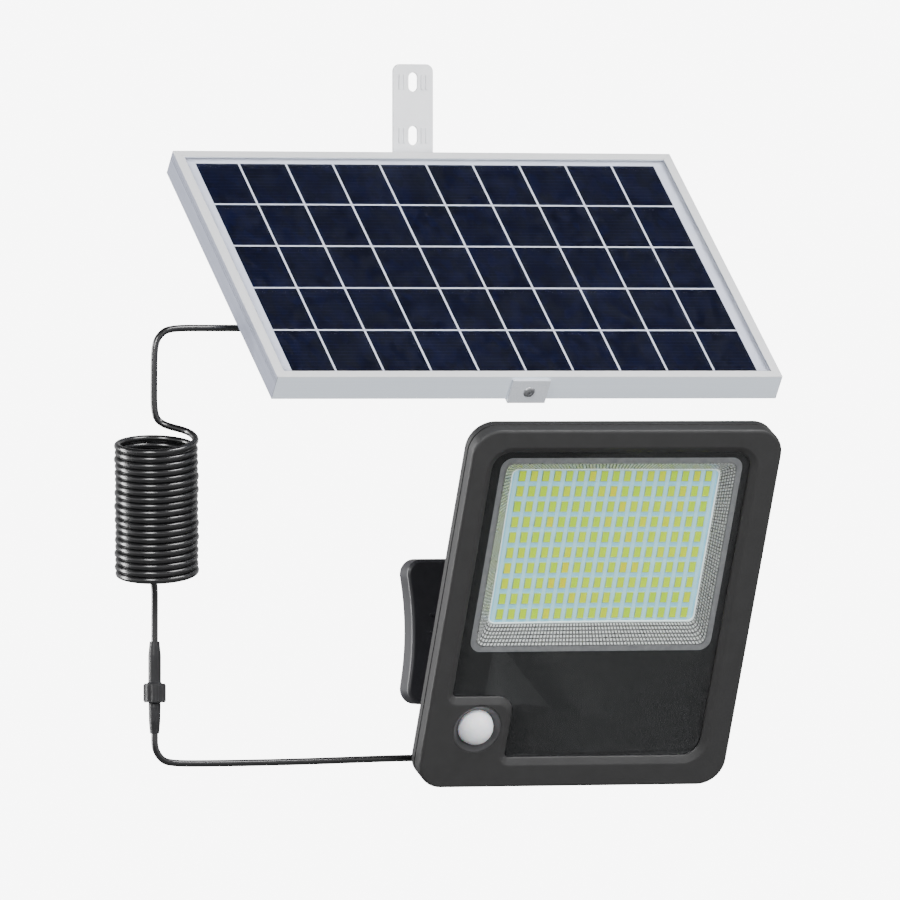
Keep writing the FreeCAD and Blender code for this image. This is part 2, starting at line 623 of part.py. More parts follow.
bezel = Body("front_bezel", LAMP, face_middle)
bezel.pad([rim_outline, opening(0, S.opening_corner, S.opening_inner_corner), sensor_hole],
          S.bezel_back, S.lamp_front)
bezel.pocket([opening(S.rebate, S.opening_corner + S.rebate, S.opening_inner_corner)],
             S.bezel_back, S.lip_back)
bezel.pocket([(x, y, S.rim_screw_radius) for x, y in rim_screws],
             S.bezel_back, S.bezel_back + S.rim_screw_depth)
front_level = plain(S.lamp_front)


def on_front_opening(edge):
    box = edge.BoundBox
    flat = box.ZMin > front_level - 0.01 and box.ZMax < front_level + 0.01
    inside = box.XMin > plain(S.opening_left) - 1 and box.XMax < plain(S.opening_right) + 1
    round_hole = edge.Curve.TypeId == "Part::GeomCircle" and edge.Closed
    return flat and inside and not round_hole


bezel.chamfer(bezel.edges(on_front_opening), S.bezel_chamfer, S.bezel_chamfer_deep)

glass_front = S.lip_back
glass_back = S.lip_back - S.lamp_glass_thick
pane = opening(S.rebate - S.glass_play, S.opening_corner + S.rebate - S.glass_play, S.opening_inner_corner)
front_glass = Body("front_glass", LAMP, face_middle)
front_glass.pad([pane], glass_back, glass_front)
ink = Body("black_print_mask", LAMP, face_middle)
ink.pad([opening(S.rebate - S.glass_play - 0.5, S.opening_corner + S.rebate - S.glass_play - 0.5,
                 S.opening_inner_corner),
         rectangle(-S.window_half, S.window_half, S.window_bottom, S.window_top, S.window_corner)],
        glass_back - S.ink_thick, glass_back)

reflector_front = glass_back - S.ink_thick - 0.2
reflector = Body("reflector", LAMP, face_middle)
flange = S.reflector_flange
reflector.pad([rectangle(-S.reflector_half - flange, S.reflector_half + flange,
                         S.reflector_bottom - flange, S.reflector_top + flange, S.window_corner)],
              reflector_front - S.reflector_flange_thick, reflector_front)
reflector.pad([rectangle(-S.reflector_half - 1, S.reflector_half + 1, S.reflector_bottom - 1,
                         S.reflector_top + 1, 6)], S.board_face, reflector_front - S.reflector_flange_thick)
reflector.loft_out(rectangle(-S.reflector_half, S.reflector_half, S.reflector_bottom, S.reflector_top, 5),
                   reflector_front,
                   rectangle(-S.board_half, S.board_half, S.board_bottom, S.board_top, 4), S.board_face)

board_back = S.board_face - S.board_thick
led_board = Body("led_board", LAMP, face_middle)
led_board.pad([rectangle(-S.board_half - S.board_margin, S.board_half + S.board_margin,
                         S.board_bottom - S.board_margin, S.board_top + S.board_margin, 3)],
              board_back, S.board_face)
spreader = Body("heat_spreader", LAMP, face_middle)
spreader.pad([rectangle(-S.spreader_half, S.spreader_half, S.board_bottom - 8, S.board_top + 8, 6)],
             board_back - S.spreader_thick, board_back)

led_shapes = []
for column in range(int(plain(S.led_columns))):
    for row in range(int(plain(S.led_rows))):
        x = (column - (plain(S.led_columns) - 1) / 2) * plain(S.led_pitch_across)
        y = (row - (plain(S.led_rows) - 1) / 2) * plain(S.led_pitch_up)
        y += plain(S.led_middle + S.lamp_rise)
        led_shapes.append(block(x - S.led_wide / 2, x + S.led_wide / 2, y - S.led_tall / 2,
                                y + S.led_tall / 2, S.board_face, S.board_face + S.led_high))
solids("leds", LAMP, led_shapes)

# Motion sensor in the notch: collar, dome, detector can and its board.
sensor_spot = (S.sensor_x, S.lamp_rise + S.sensor_up, 0)
collar = Body("sensor_collar", LAMP, sensor_spot)
collar.turn([(S.collar_bore, S.collar_back, 0), (S.collar_radius, S.collar_back, 0),
             (S.collar_radius, S.lamp_front - 0.3, 0),
             (S.collar_radius - S.collar_rim, S.lamp_front - 0.3, 0),
             (S.collar_bore, S.collar_seat, 0)], "XZ_Plane", "V_Axis")
dome_outside = doc.addObject("Part::Sphere", "dome_outside")
dome_outside.setExpression("Radius", S.dome_radius.text)
dome_outside.Angle1 = 0
dome_inside = doc.addObject("Part::Sphere", "dome_inside")
dome_inside.setExpression("Radius", (S.dome_radius - S.dome_wall).text)
dome = doc.addObject("Part::Cut", "sensor_lens")
dome.Base = dome_outside
dome.Tool = dome_inside
finished(dome, "sensor_lens", LAMP, (S.sensor_x, S.lamp_rise + S.sensor_up, S.dome_base))
detector = doc.addObject("Part::Cylinder", "motion_detector")
detector.setExpression("Radius", S.can_radius.text)
detector.setExpression("Height", S.can_high.text)
sensor_board_front = S.sensor_board_back + S.sensor_board_thick
finished(detector, "motion_detector", LAMP,
         (S.sensor_x, S.lamp_rise + S.sensor_up, sensor_board_front))
sensor_board = Body("sensor_board", LAMP, sensor_spot)
half_board = S.sensor_board_side / 2
sensor_board.pad([middle_rectangle(half_board, half_board, 2)], S.sensor_board_back, sensor_board_front)

# Rear housing: rim, step, deep box, fins and hinge lugs.
housing = Body("rear_housing", LAMP, face_middle)
housing.pad([rim_outline], S.rim_back, S.rim_front)
housing.pad([rectangle(-S.step_half, S.step_half, S.step_low, S.step_high, S.deep_corner)],
            S.step_back, S.rim_back)
housing.pad([rectangle(-S.deep_half, S.deep_half, S.deep_low, S.deep_high, S.deep_corner)],
            S.deep_back, S.step_back)
# The lower left corner is filled out square, so that the cord gland has a flat wall to sit on.
housing.pad([rectangle(-S.deep_half, -S.deep_half + S.gland_boss, S.deep_low, S.deep_low + S.gland_boss)],
            S.deep_back, S.step_back)
foot_y = S.lug_foot
lug = [(-foot_y - S.lamp_rise, S.deep_back + 1, 0),
       (-S.lug_radius - S.lamp_rise, -S.lug_radius, S.lug_radius - 0.1),
       (S.lug_radius - S.lamp_rise, -S.lug_radius, S.lug_radius - 0.1),
       (foot_y - S.lamp_rise, S.deep_back + 1, 0)]
for inner in (S.lug_inner, -S.lug_inner - S.lug_thick):
    housing.pad([lug], inner, inner + S.lug_thick, "YZ_Plane")
fins = []
for index in range(int(plain(S.fin_count))):
    for side in (-1, 1):
        x = side * (S.fin_first + S.fin_pitch * index)
        fins.append(rectangle(x - S.fin_thick / 2, x + S.fin_thick / 2, S.fin_low, S.fin_top))
housing.pad(fins, S.deep_back - S.fin_high, S.deep_back)
wall = S.housing_wall
housing.pocket([rectangle(-S.step_half + wall, S.step_half - wall, S.step_low + wall, S.step_high - wall,
                          S.deep_corner - wall)], S.tray_floor, S.rim_front)
housing.pocket([rectangle(-S.deep_half + wall, S.deep_half - wall, S.deep_low + wall, S.deep_high - wall,
                          S.deep_corner - wall)], S.deep_floor, S.tray_floor)
housing.pocket([(x, y, S.rim_screw_radius) for x, y in rim_screws], S.rim_back, S.rim_front)
for start in (S.lug_inner, -S.lug_inner - S.lug_thick):
    housing.pocket([(-S.lamp_rise, 0, S.lamp_bolt_radius)], start, start + S.lug_thick, "YZ_Plane")
gland_bore = S.lamp_gland_radius - 2
housing.pocket([(S.lamp_gland_up - S.lamp_rise, S.lamp_gland_depth, gland_bore)],
               -S.deep_half, -S.deep_half + S.gland_boss, "YZ_Plane")
# The XZ plane's own normal is -Y, so levels on it are minus the height up the face.
switch_hole = (S.switch_x, S.switch_depth, S.button_radius + S.button_play)
housing.pocket([switch_hole], -S.deep_low - wall, -S.deep_low, "XZ_Plane")

seal = Body("housing_seal", LAMP, face_middle)
seal.pad([middle_rectangle(half_lamp_wide - 1, half_lamp_tall - 1, S.lamp_corner - 1),
          middle_rectangle(half_lamp_wide - 9, half_lamp_tall - 7.6, S.lamp_corner - 7)],
         S.rim_front, S.bezel_back)
seal.pocket([(x, y, S.rim_screw_radius) for x, y in rim_screws], S.rim_front, S.bezel_back)
screw_front = S.bezel_back + 5
solids("housing_screws", LAMP,
       [rod(x, y + S.lamp_rise, S.rim_back, S.rim_screw_radius, screw_front - S.rim_back, ALONG_Z).fuse(
        rod(x, y + S.lamp_rise, S.rim_back - S.rim_screw_head_high, S.rim_screw_head,
            S.rim_screw_head_high, ALONG_Z)) for x, y in rim_screws])

# Batteries in their holder, the control board, and the switch.
row_heights = [S.battery_first + S.battery_pitch * row for row in range(3)]
battery_shapes = []
for x in (-S.battery_offset, S.battery_offset):
    for y in row_heights:
        battery_shapes.append(rod(x - S.battery_length / 2, y, S.battery_depth, S.battery_radius,
                                  S.battery_length, ALONG_X))
solids("battery_cells", LAMP, battery_shapes)
holder_low = S.battery_first - S.battery_radius
holder_high = row_heights[2] + S.battery_radius
end_plates = []
for start in (-S.deep_half + wall + 0.4, -S.holder_thick / 2 - 0.3,
              S.deep_half - wall - S.holder_thick - 0.4):
    end_plates.append(block(start, start + S.holder_thick, holder_low, holder_high, S.deep_floor,
                            S.battery_depth + 5))
solids("battery_holder", LAMP, end_plates)
control = Body("control_board", LAMP, face_middle)
half_control = S.control_wide / 2
control.pad([rectangle(-half_control, half_control, S.control_up - S.lamp_rise + 8,
                       S.control_up - S.lamp_rise + 8 + S.control_tall, 2)],
            S.control_back, S.control_back + S.control_thick)
control_front = S.control_back + S.control_thick
for left, right, low, high, tall in ((-40, -22, 10, 28, 9), (5, 30, 30, 42, 5), (-30, -10, 50, 62, 7),
                                     (35, 48, 5, 20, 6)):
    control.pad([rectangle(left, right, low, high)], control_front, control_front + tall)

deep_bottom = S.lamp_rise + S.deep_low
button = Body("power_button", LAMP, (S.switch_x, 0, S.switch_depth))
button.pad([(0, 0, S.button_radius)], -deep_bottom - wall, -deep_bottom + S.button_out, "XZ_Plane")
boot = Body("switch_boot", LAMP, (S.switch_x, 0, S.switch_depth))
boot.pad([(0, 0, S.boot_radius), (0, 0, S.button_radius + S.button_play)], -deep_bottom,
         -deep_bottom + S.boot_thick, "XZ_Plane")
switch_body = Body("switch_body", LAMP, (S.switch_x, 0, S.switch_depth))
half_switch = S.switch_side / 2
switch_top = -deep_bottom - wall - S.button_travel - 0.3
switch_body.pad([middle_rectangle(half_switch, half_switch, 1)], switch_top - S.switch_high, switch_top,
                "XZ_Plane")

lamp_gland = Body("lamp_gland", LAMP, (0, S.lamp_gland_up, S.lamp_gland_depth))
lamp_gland_tip = -S.deep_half - S.lamp_gland_length
lamp_gland.pad([hexagon(2 * S.lamp_gland_radius - 0.8), (0, 0, cord_radius)], -S.deep_half - 6,
               -S.deep_half, "YZ_Plane")
lamp_gland.pad([(0, 0, gland_bore), (0, 0, cord_radius)], -S.deep_half, -S.deep_half + wall + 0.3,
               "YZ_Plane")
lamp_gland.turn([(-S.deep_half - 6, cord_radius, 0), (lamp_gland_tip, cord_radius, 0),
                 (lamp_gland_tip, cord_radius + 1.3, 0), (-S.deep_half - 13, S.lamp_gland_radius - 1.3, 0),
                 (-S.deep_half - 6, S.lamp_gland_radius - 0.5, 0)], "XY_Plane", "H_Axis")

# Lamp hinge bolt, washers and knob.
lug_outer = S.lug_inner + S.lug_thick
head_start = lug_outer + S.lamp_washer
lamp_bolt = Body("lamp_hinge_bolt", LAMP)
lamp_bolt.pad([hexagon(S.lamp_bolt_across)], -head_start - S.lamp_bolt_head, -head_start, "YZ_Plane")
lamp_bolt.pad([(0, 0, S.lamp_bolt_radius)], -head_start, S.lamp_bolt_reach, "YZ_Plane")
solids("lamp_hinge_washers", LAMP,
       [rod(start, 0, 0, S.lamp_washer_radius, S.lamp_washer, ALONG_X).cut(
        rod(start - 1, 0, 0, S.lamp_bolt_radius + 0.1, 4, ALONG_X)) for start in (-head_start, lug_outer)])
knob_start = head_start + 0.3
knob = Body("lamp_hinge_knob", LAMP)
knob.pad([(0, 0, S.knob_radius - 1.6), (0, 0, S.lamp_bolt_radius + 0.1)], knob_start,
         knob_start + S.knob_thick, "YZ_Plane")
lobe_count = int(plain(S.knob_lobes))
for index in range(lobe_count):
    turn = math.radians(360 * index / lobe_count)
    reach = S.knob_radius - S.knob_lobe_radius
    knob.pad([(reach * math.cos(turn), reach * math.sin(turn), S.knob_lobe_radius)],
             knob_start, knob_start + S.knob_thick, "YZ_Plane")

# ---- Lamp's wall plate: root ---------------------------------------------------------------


def hourglass(inset, corner):
    """The plate's outline, drawn in at the middle of its left and right sides."""
    half_wide = S.plate_wide / 2 - inset
    half_tall = S.plate_tall / 2 - inset
    waist = half_wide - S.plate_waist
    return [(-half_wide, -half_tall, corner), (half_wide, -half_tall, corner), (waist, 0, S.waist_radius),
            (half_wide, half_tall, corner), (-half_wide, half_tall, corner), (-waist, 0, S.waist_radius)]


plate = Body("lamp_wall_bracket", WALL)
plate.pad([hourglass(0, S.plate_corner)], 0, S.plate_deep)
front_plate = plain(S.plate_deep)
plate_rim = plate.edges(lambda edge: edge.BoundBox.ZMin > front_plate - 0.01)
plate.fillet(plate_rim, S.plate_edge)
plate.pocket([hourglass(S.plate_skin, S.plate_corner - S.plate_skin)][::-1], -1, S.plate_deep - S.plate_skin)
hole_spots = [(x, y) for x in (-S.hole_across, S.hole_across) for y in (-S.hole_up, S.hole_up)]
plate.pad([(x, y, S.boss_radius) for x, y in hole_spots], 0, S.plate_deep - S.plate_skin + 0.1)
plate.pocket([(x, y, S.hole_radius) for x, y in hole_spots], 0, S.plate_deep)
ribs = []
for y in (-S.rib_spacing, 0, S.rib_spacing):
    for low, high in ((-S.rib_end, -S.rib_start), (S.rib_start, S.rib_end)):
        ribs.append(rectangle(low, high, y - S.rib_wide / 2, y + S.rib_wide / 2, 0.7))
plate.pad(ribs, S.plate_deep - 0.2, S.plate_deep + S.rib_high)
# The arm's profile lies on the YZ plane: its height, then how far it stands out from the wall.
arm_out = S.lamp_hinge_out + S.arm_end
arm = [(-S.arm_root, 0, 0), (S.arm_root, 0, 0), (S.arm_root * 0.85, S.plate_deep + 6, 12),
       (S.arm_end, S.arm_taper_end, 30), (S.arm_end, arm_out, S.arm_end_corner),
       (-S.arm_end, arm_out, S.arm_end_corner), (-S.arm_end, S.arm_taper_end, 30),
       (-S.arm_root * 0.85, S.plate_deep + 6, 12)]
plate.pad([arm], -S.arm_half, S.arm_half, "YZ_Plane")
plate.pocket([(0, S.lamp_hinge_out, S.lamp_bolt_radius + S.hinge_clearance)], -S.arm_half, S.arm_half,
             "YZ_Plane")

# ---- Cord, coil and connector --------------------------------------------------------------

# Hand-placed points of the three loose stretches, as (x, y, z) in the row frame.
PANEL_LEAD = [(-195.9, -117.9, 198.0), (-262.0, -117.9, 198.0), (-287.9, -118.1, 198.0),
              (-294.9, -118.4, 194.0), (-298.9, -118.8, 187.0), (-299.2, -119.0, 165.0),
              (-298.8, -117.6, 134.2)]
PLUG_LEAD = [(-290.9, -98.2, 43.2), (-289.4, -95.6, 25.0), (-289.2, -94.0, -3.0)]
LAMP_LEAD = [(-289.2, -94.0, -62.0), (-289.2, -94.0, -71.8), (-285.3, -93.6, -78.5), (-278.6, -92.8, -82.4),
             (-250.0, -89.6, -83.0), (-210.0, -84.9, -83.0), (-170.0, -80.2, -82.3), (-138.0, -76.0, -81.0),
             (-112.2, -74.18, -80.36)]


def cord_path(points):
    """Straight runs joined by tangent arcs, as one wire; prints each arc's radius."""
    spots = [Vector(*point) for point in points]
    edges = []
    start = spots[0]
    radii = []
    for before, spot, after in zip(spots, spots[1:], spots[2:]):
        back = (before - spot).normalize()
        ahead = (after - spot).normalize()
        shorter = min((before - spot).Length, (after - spot).Length)
        half_turn = (math.pi - back.getAngle(ahead)) / 2
        radius = 0.45 * shorter / math.tan(half_turn)
        radii.append(round(radius, 1))
        first = spot + back * (0.45 * shorter)
        last = spot + ahead * (0.45 * shorter)
        middle_way = (back + ahead).normalize()
        middle = spot + middle_way * (radius / math.cos(half_turn) - radius)
        edges.append(Part.LineSegment(start, first).toShape())
        edges.append(Part.Arc(first, middle, last).toShape())
        start = last
    edges.append(Part.LineSegment(start, spots[-1]).toShape())
    return Part.Wire(edges), radii


def cord_tube(name, points):
    """A round tube along a cord path, checked against its section times its length."""
    path, radii = cord_path(points)
    radius = plain(cord_radius)
    direction = Vector(*points[1]) - Vector(*points[0])
    ring = Part.Wire(Part.makeCircle(radius, Vector(*points[0]), direction))
    tube = path.makePipeShell([ring], True, True)
    expected = math.pi * radius ** 2 * path.Length
    print("%s: length %.1f, arcs %s, volume ratio %.4f" % (name, path.Length, radii, tube.Volume / expected))
    piece = doc.addObject("Part::Feature", name)
    piece.Shape = tube
    return finished(piece, name, ROW)


cord_tube("panel_lead", PANEL_LEAD)
cord_tube("plug_lead", PLUG_LEAD)
cord_tube("lamp_lead", LAMP_LEAD)

lead_end = doc.addObject("Part::Cylinder", "lamp_lead_end")
lead_end.setExpression("Radius", cord_radius.text)
lead_end.setExpression("Height", (lamp_gland_tip - S.lead_cut).text)
finished(lead_end, "lamp_lead_end", LAMP, (S.lead_cut, S.lamp_gland_up, S.lamp_gland_depth), ALONG_Y, 90)

coil_length = S.coil_turns * S.coil_pitch + S.cord_diameter
coil_outside = doc.addObject("Part::Cylinder", "coil_outside")
coil_outside.setExpression("Radius", (S.coil_radius + cord_radius).text)
coil_outside.setExpression("Height", coil_length.text)
coil_inside = doc.addObject("Part::Cylinder", "coil_inside")
coil_inside.setExpression("Radius", (S.coil_radius - cord_radius).text)
coil_inside.setExpression("Height", coil_length.text)
coil = doc.addObject("Part::Cut", "cable_coil")
coil.Base = coil_outside
coil.Tool = coil_inside
finished(coil, "cable_coil", COIL, (0, 0, -coil_length / 2))

thread_end = S.plug_nut_bottom + 0.6
plug = Body("plug_body", PLUG)
plug.turn([(cord_radius, S.plug_top, 0), (S.plug_neck, S.plug_top, 0),
           (S.plug_body_radius, S.plug_top - 9, 0), (S.plug_body_radius, S.plug_nut_top, 0),
           (S.plug_thread, S.plug_nut_top - 1, 0), (S.plug_thread, S.plug_joint + 0.2, 0),
           (S.plug_nose, S.plug_joint + 0.2, 0), (S.plug_nose, S.plug_nose_end, 0), (0, S.plug_nose_end, 0),
           (0, S.plug_top - 6, 0), (cord_radius, S.plug_top - 6, 0)], "XZ_Plane", "V_Axis")
socket = Body("socket_body", PLUG)
socket_floor = S.plug_nose_end - 6
socket.turn([(S.socket_bore, S.plug_joint, 0), (S.plug_thread, S.plug_joint, 0),
             (S.plug_thread, thread_end, 0), (S.plug_body_radius - 0.2, thread_end, 0),
             (S.plug_body_radius - 0.4, S.plug_end + 8, 0), (S.socket_neck, S.plug_end, 0),
             (0, S.plug_end, 0), (0, socket_floor, 0), (S.socket_bore, socket_floor, 0)],
            "XZ_Plane", "V_Axis")
connector_seal = Body("connector_seal", PLUG)
connector_seal.pad([(0, 0, S.socket_bore), (0, 0, S.plug_nose)], S.plug_joint - 2, S.plug_joint - 0.6)
solids("plug_pins", PLUG,
       [rod(x, 0, S.plug_nose_end, S.pin_radius, S.pin_reach, (0, 0, -1))
        for x in (-S.pin_offset, S.pin_offset)])
nut = Body("coupling_nut", PLUG)
nut.pad([(0, 0, S.nut_radius - 0.6), (0, 0, S.nut_bore)], S.plug_nut_bottom, S.plug_nut_top - 1)
rib_count = int(plain(S.nut_ribs))
grip = []
for index in range(rib_count):
    turn = math.radians(360 * index / rib_count)
    reach = S.nut_radius - 1
    grip.append((reach * math.cos(turn), reach * math.sin(turn), 0.95))
nut.pad(grip, S.plug_nut_bottom + 0.8, S.plug_nut_top - 1.8)

# ---- Check everything, then write it -------------------------------------------------------

doc.recompute()
problems = []
for item in doc.Objects:
    if "Invalid" in item.State or "Error" in item.State:
        problems.append("%s is in state %s" % (item.Name, item.State))
for piece in sub_parts:
    shape = piece.Shape
    if shape.isNull() or not shape.isValid() or not shape.Solids:
        problems.append("%s has a bad shape" % piece.Label)
if problems:
    raise ValueError("; ".join(problems))

for piece in sub_parts:
    piece.Shape.exportStep("parts/%s.step" % piece.Label)
print("%d sub-parts written" % len(sub_parts))
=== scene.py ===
import bmesh
import bpy
import math
from mathutils import Matrix, Vector, geometry


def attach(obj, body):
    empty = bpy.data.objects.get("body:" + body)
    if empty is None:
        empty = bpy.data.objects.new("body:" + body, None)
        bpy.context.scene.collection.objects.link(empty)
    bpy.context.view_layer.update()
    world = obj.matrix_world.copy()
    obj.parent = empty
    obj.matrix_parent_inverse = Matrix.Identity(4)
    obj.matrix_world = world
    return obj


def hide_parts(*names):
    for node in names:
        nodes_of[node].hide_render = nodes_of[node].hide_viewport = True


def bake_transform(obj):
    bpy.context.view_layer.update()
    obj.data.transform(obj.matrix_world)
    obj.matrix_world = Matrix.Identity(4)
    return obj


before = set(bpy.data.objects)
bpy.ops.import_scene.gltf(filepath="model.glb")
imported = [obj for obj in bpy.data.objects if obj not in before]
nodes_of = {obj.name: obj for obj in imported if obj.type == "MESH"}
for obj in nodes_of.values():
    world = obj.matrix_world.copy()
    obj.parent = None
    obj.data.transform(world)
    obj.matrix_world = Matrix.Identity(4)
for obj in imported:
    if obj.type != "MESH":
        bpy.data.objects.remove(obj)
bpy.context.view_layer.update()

eye_turn = math.radians(-22.31)
eye_rise = math.radians(0.37)
eye_far = 8.62
looked_at = Vector((-0.0836, -0.0920, 0.1193))
backward = Vector((math.sin(eye_turn) * math.cos(eye_rise), -math.cos(eye_turn) * math.cos(eye_rise),
                   math.sin(eye_rise)))
camera = bpy.data.objects.new("camera", bpy.data.cameras.new("camera"))
camera.data.lens = 532.7
camera.data.sensor_width = 36
camera.data.clip_end = 60
camera.location = looked_at + backward * eye_far
camera.rotation_euler = backward.to_track_quat("Z", "Y").to_euler()
bpy.context.scene.collection.objects.link(camera)
bpy.context.scene.camera = camera



def split_by_ray(tree, kind, others, these):
    """One shader for the rays of a kind, and another for all others."""
    path = tree.nodes.new("ShaderNodeLightPath")
    mix = tree.nodes.new("ShaderNodeMixShader")
    for source, socket in zip((path.outputs[kind], others, these), mix.inputs):
        tree.links.new(source, socket)
    return mix.outputs["Shader"]


# A white studio seen directly.  What it sheds on the object is brightest level with it and fades
# to a dark ceiling, so that flat glass facing up stays clear.
world = bpy.data.worlds.new("studio")
world.use_nodes = True
sky = world.node_tree
backdrop = sky.nodes["Background"]
backdrop.inputs["Color"].default_value = (1.0, 1.0, 1.0, 1)
backdrop.inputs["Strength"].default_value = 8.0
shed = sky.nodes.new("ShaderNodeBackground")
facing = sky.nodes.new("ShaderNodeTexCoord")
axes = sky.nodes.new("ShaderNodeSeparateXYZ")
sky.links.new(facing.outputs["Generated"], axes.inputs["Vector"])
fade = sky.nodes.new("ShaderNodeValToRGB")
fade.color_ramp.elements[0].position = 0.0
fade.color_ramp.elements[0].color = (0.25, 0.25, 0.25, 1)
fade.color_ramp.elements[1].position = 1.0
fade.color_ramp.elements[1].color = (0.012, 0.012, 0.014, 1)
for spot, level in ((0.42, 0.45), (0.5, 1.0), (0.60, 0.85), (0.80, 0.08)):
    stop = fade.color_ramp.elements.new(spot)
    stop.color = (level, level, level * 1.02, 1)
raised = sky.nodes.new("ShaderNodeMapRange")
raised.inputs["From Min"].default_value = -1
sky.links.new(axes.outputs["Z"], raised.inputs["Value"])
sky.links.new(raised.outputs["Result"], fade.inputs["Fac"])
sky.links.new(fade.outputs["Color"], shed.inputs["Color"])
sky.links.new(split_by_ray(sky, "Is Camera Ray", shed.outputs["Background"],
                           backdrop.outputs["Background"]), sky.nodes["World Output"].inputs["Surface"])
bpy.context.scene.world = world


def soft_lamp(name, place, aim, wide, tall, watts, mirrored=True):
    """A softbox that isn't seen itself; mirrored says whether shiny surfaces show it."""
    panel = bpy.data.lights.new(name, "AREA")
    panel.shape = "RECTANGLE"
    panel.size = wide
    panel.size_y = tall
    panel.energy = watts
    lamp = bpy.data.objects.new(name, panel)
    lamp.location = place
    lamp.rotation_euler = (Vector(place) - Vector(aim)).to_track_quat("Z", "Y").to_euler()
    lamp.visible_camera = False
    lamp.visible_transmission = False
    lamp.visible_glossy = mirrored
    bpy.context.scene.collection.objects.link(lamp)


soft_lamp("left_softbox", (-2.1, 1.1, 0.3), (-0.1, -0.1, 0.1), 0.5, 2.2, 80)
soft_lamp("key_softbox", (-1.9, -2.0, 1.4), (-0.1, -0.1, 0.1), 0.8, 1.2, 55)
soft_lamp("top_softbox", (0.9, -1.5, 2.0), (0, -0.1, 0.1), 1.4, 0.9, 60)
soft_lamp("front_softbox", (0.6, -2.9, 0.1), (-0.1, -0.1, 0.1), 1.6, 1.0, 80, mirrored=False)

floor_mesh = bpy.data.meshes.new("floor")
floor_mesh.from_pydata([(-4, -4, -1), (4, -4, -1), (4, 4, -1), (-4, 4, -1)], [], [(0, 1, 2, 3)])
floor = bpy.data.objects.new("floor", floor_mesh)
bpy.context.scene.collection.objects.link(floor)
floor_paint = bpy.data.materials.new("pale_floor")
floor_paint.use_nodes = True
floor_tree = floor_paint.node_tree
pale = floor_tree.nodes["Principled BSDF"]
pale.inputs["Base Color"].default_value = (0.86, 0.86, 0.86, 1)
pale.inputs["Roughness"].default_value = 0.9
pale.inputs["Emission Color"].default_value = (1.0, 1.0, 1.0, 1)
pale.inputs["Emission Strength"].default_value = 0.9
# It throws back less than it shows, so that glass facing down stays dark.
muted = floor_tree.nodes.new("ShaderNodeBsdfDiffuse")
muted.inputs["Color"].default_value = (0.16, 0.16, 0.16, 1)
floor_shader = split_by_ray(floor_tree, "Is Camera Ray", muted.outputs["BSDF"], pale.outputs["BSDF"])
floor_tree.links.new(floor_shader, floor_tree.nodes["Material Output"].inputs["Surface"])
floor_mesh.materials.append(floor_paint)

# ---- Panel cord ------------------------------------------------------------------------------
# The panel's two-core flex, 4.4 mm over its black PVC sheath.  It leaves the junction box on the
# hinge's own line, is wound into a tidy coil of twenty turns, and hangs down to the plug.
CORD_THICK = 0.0044


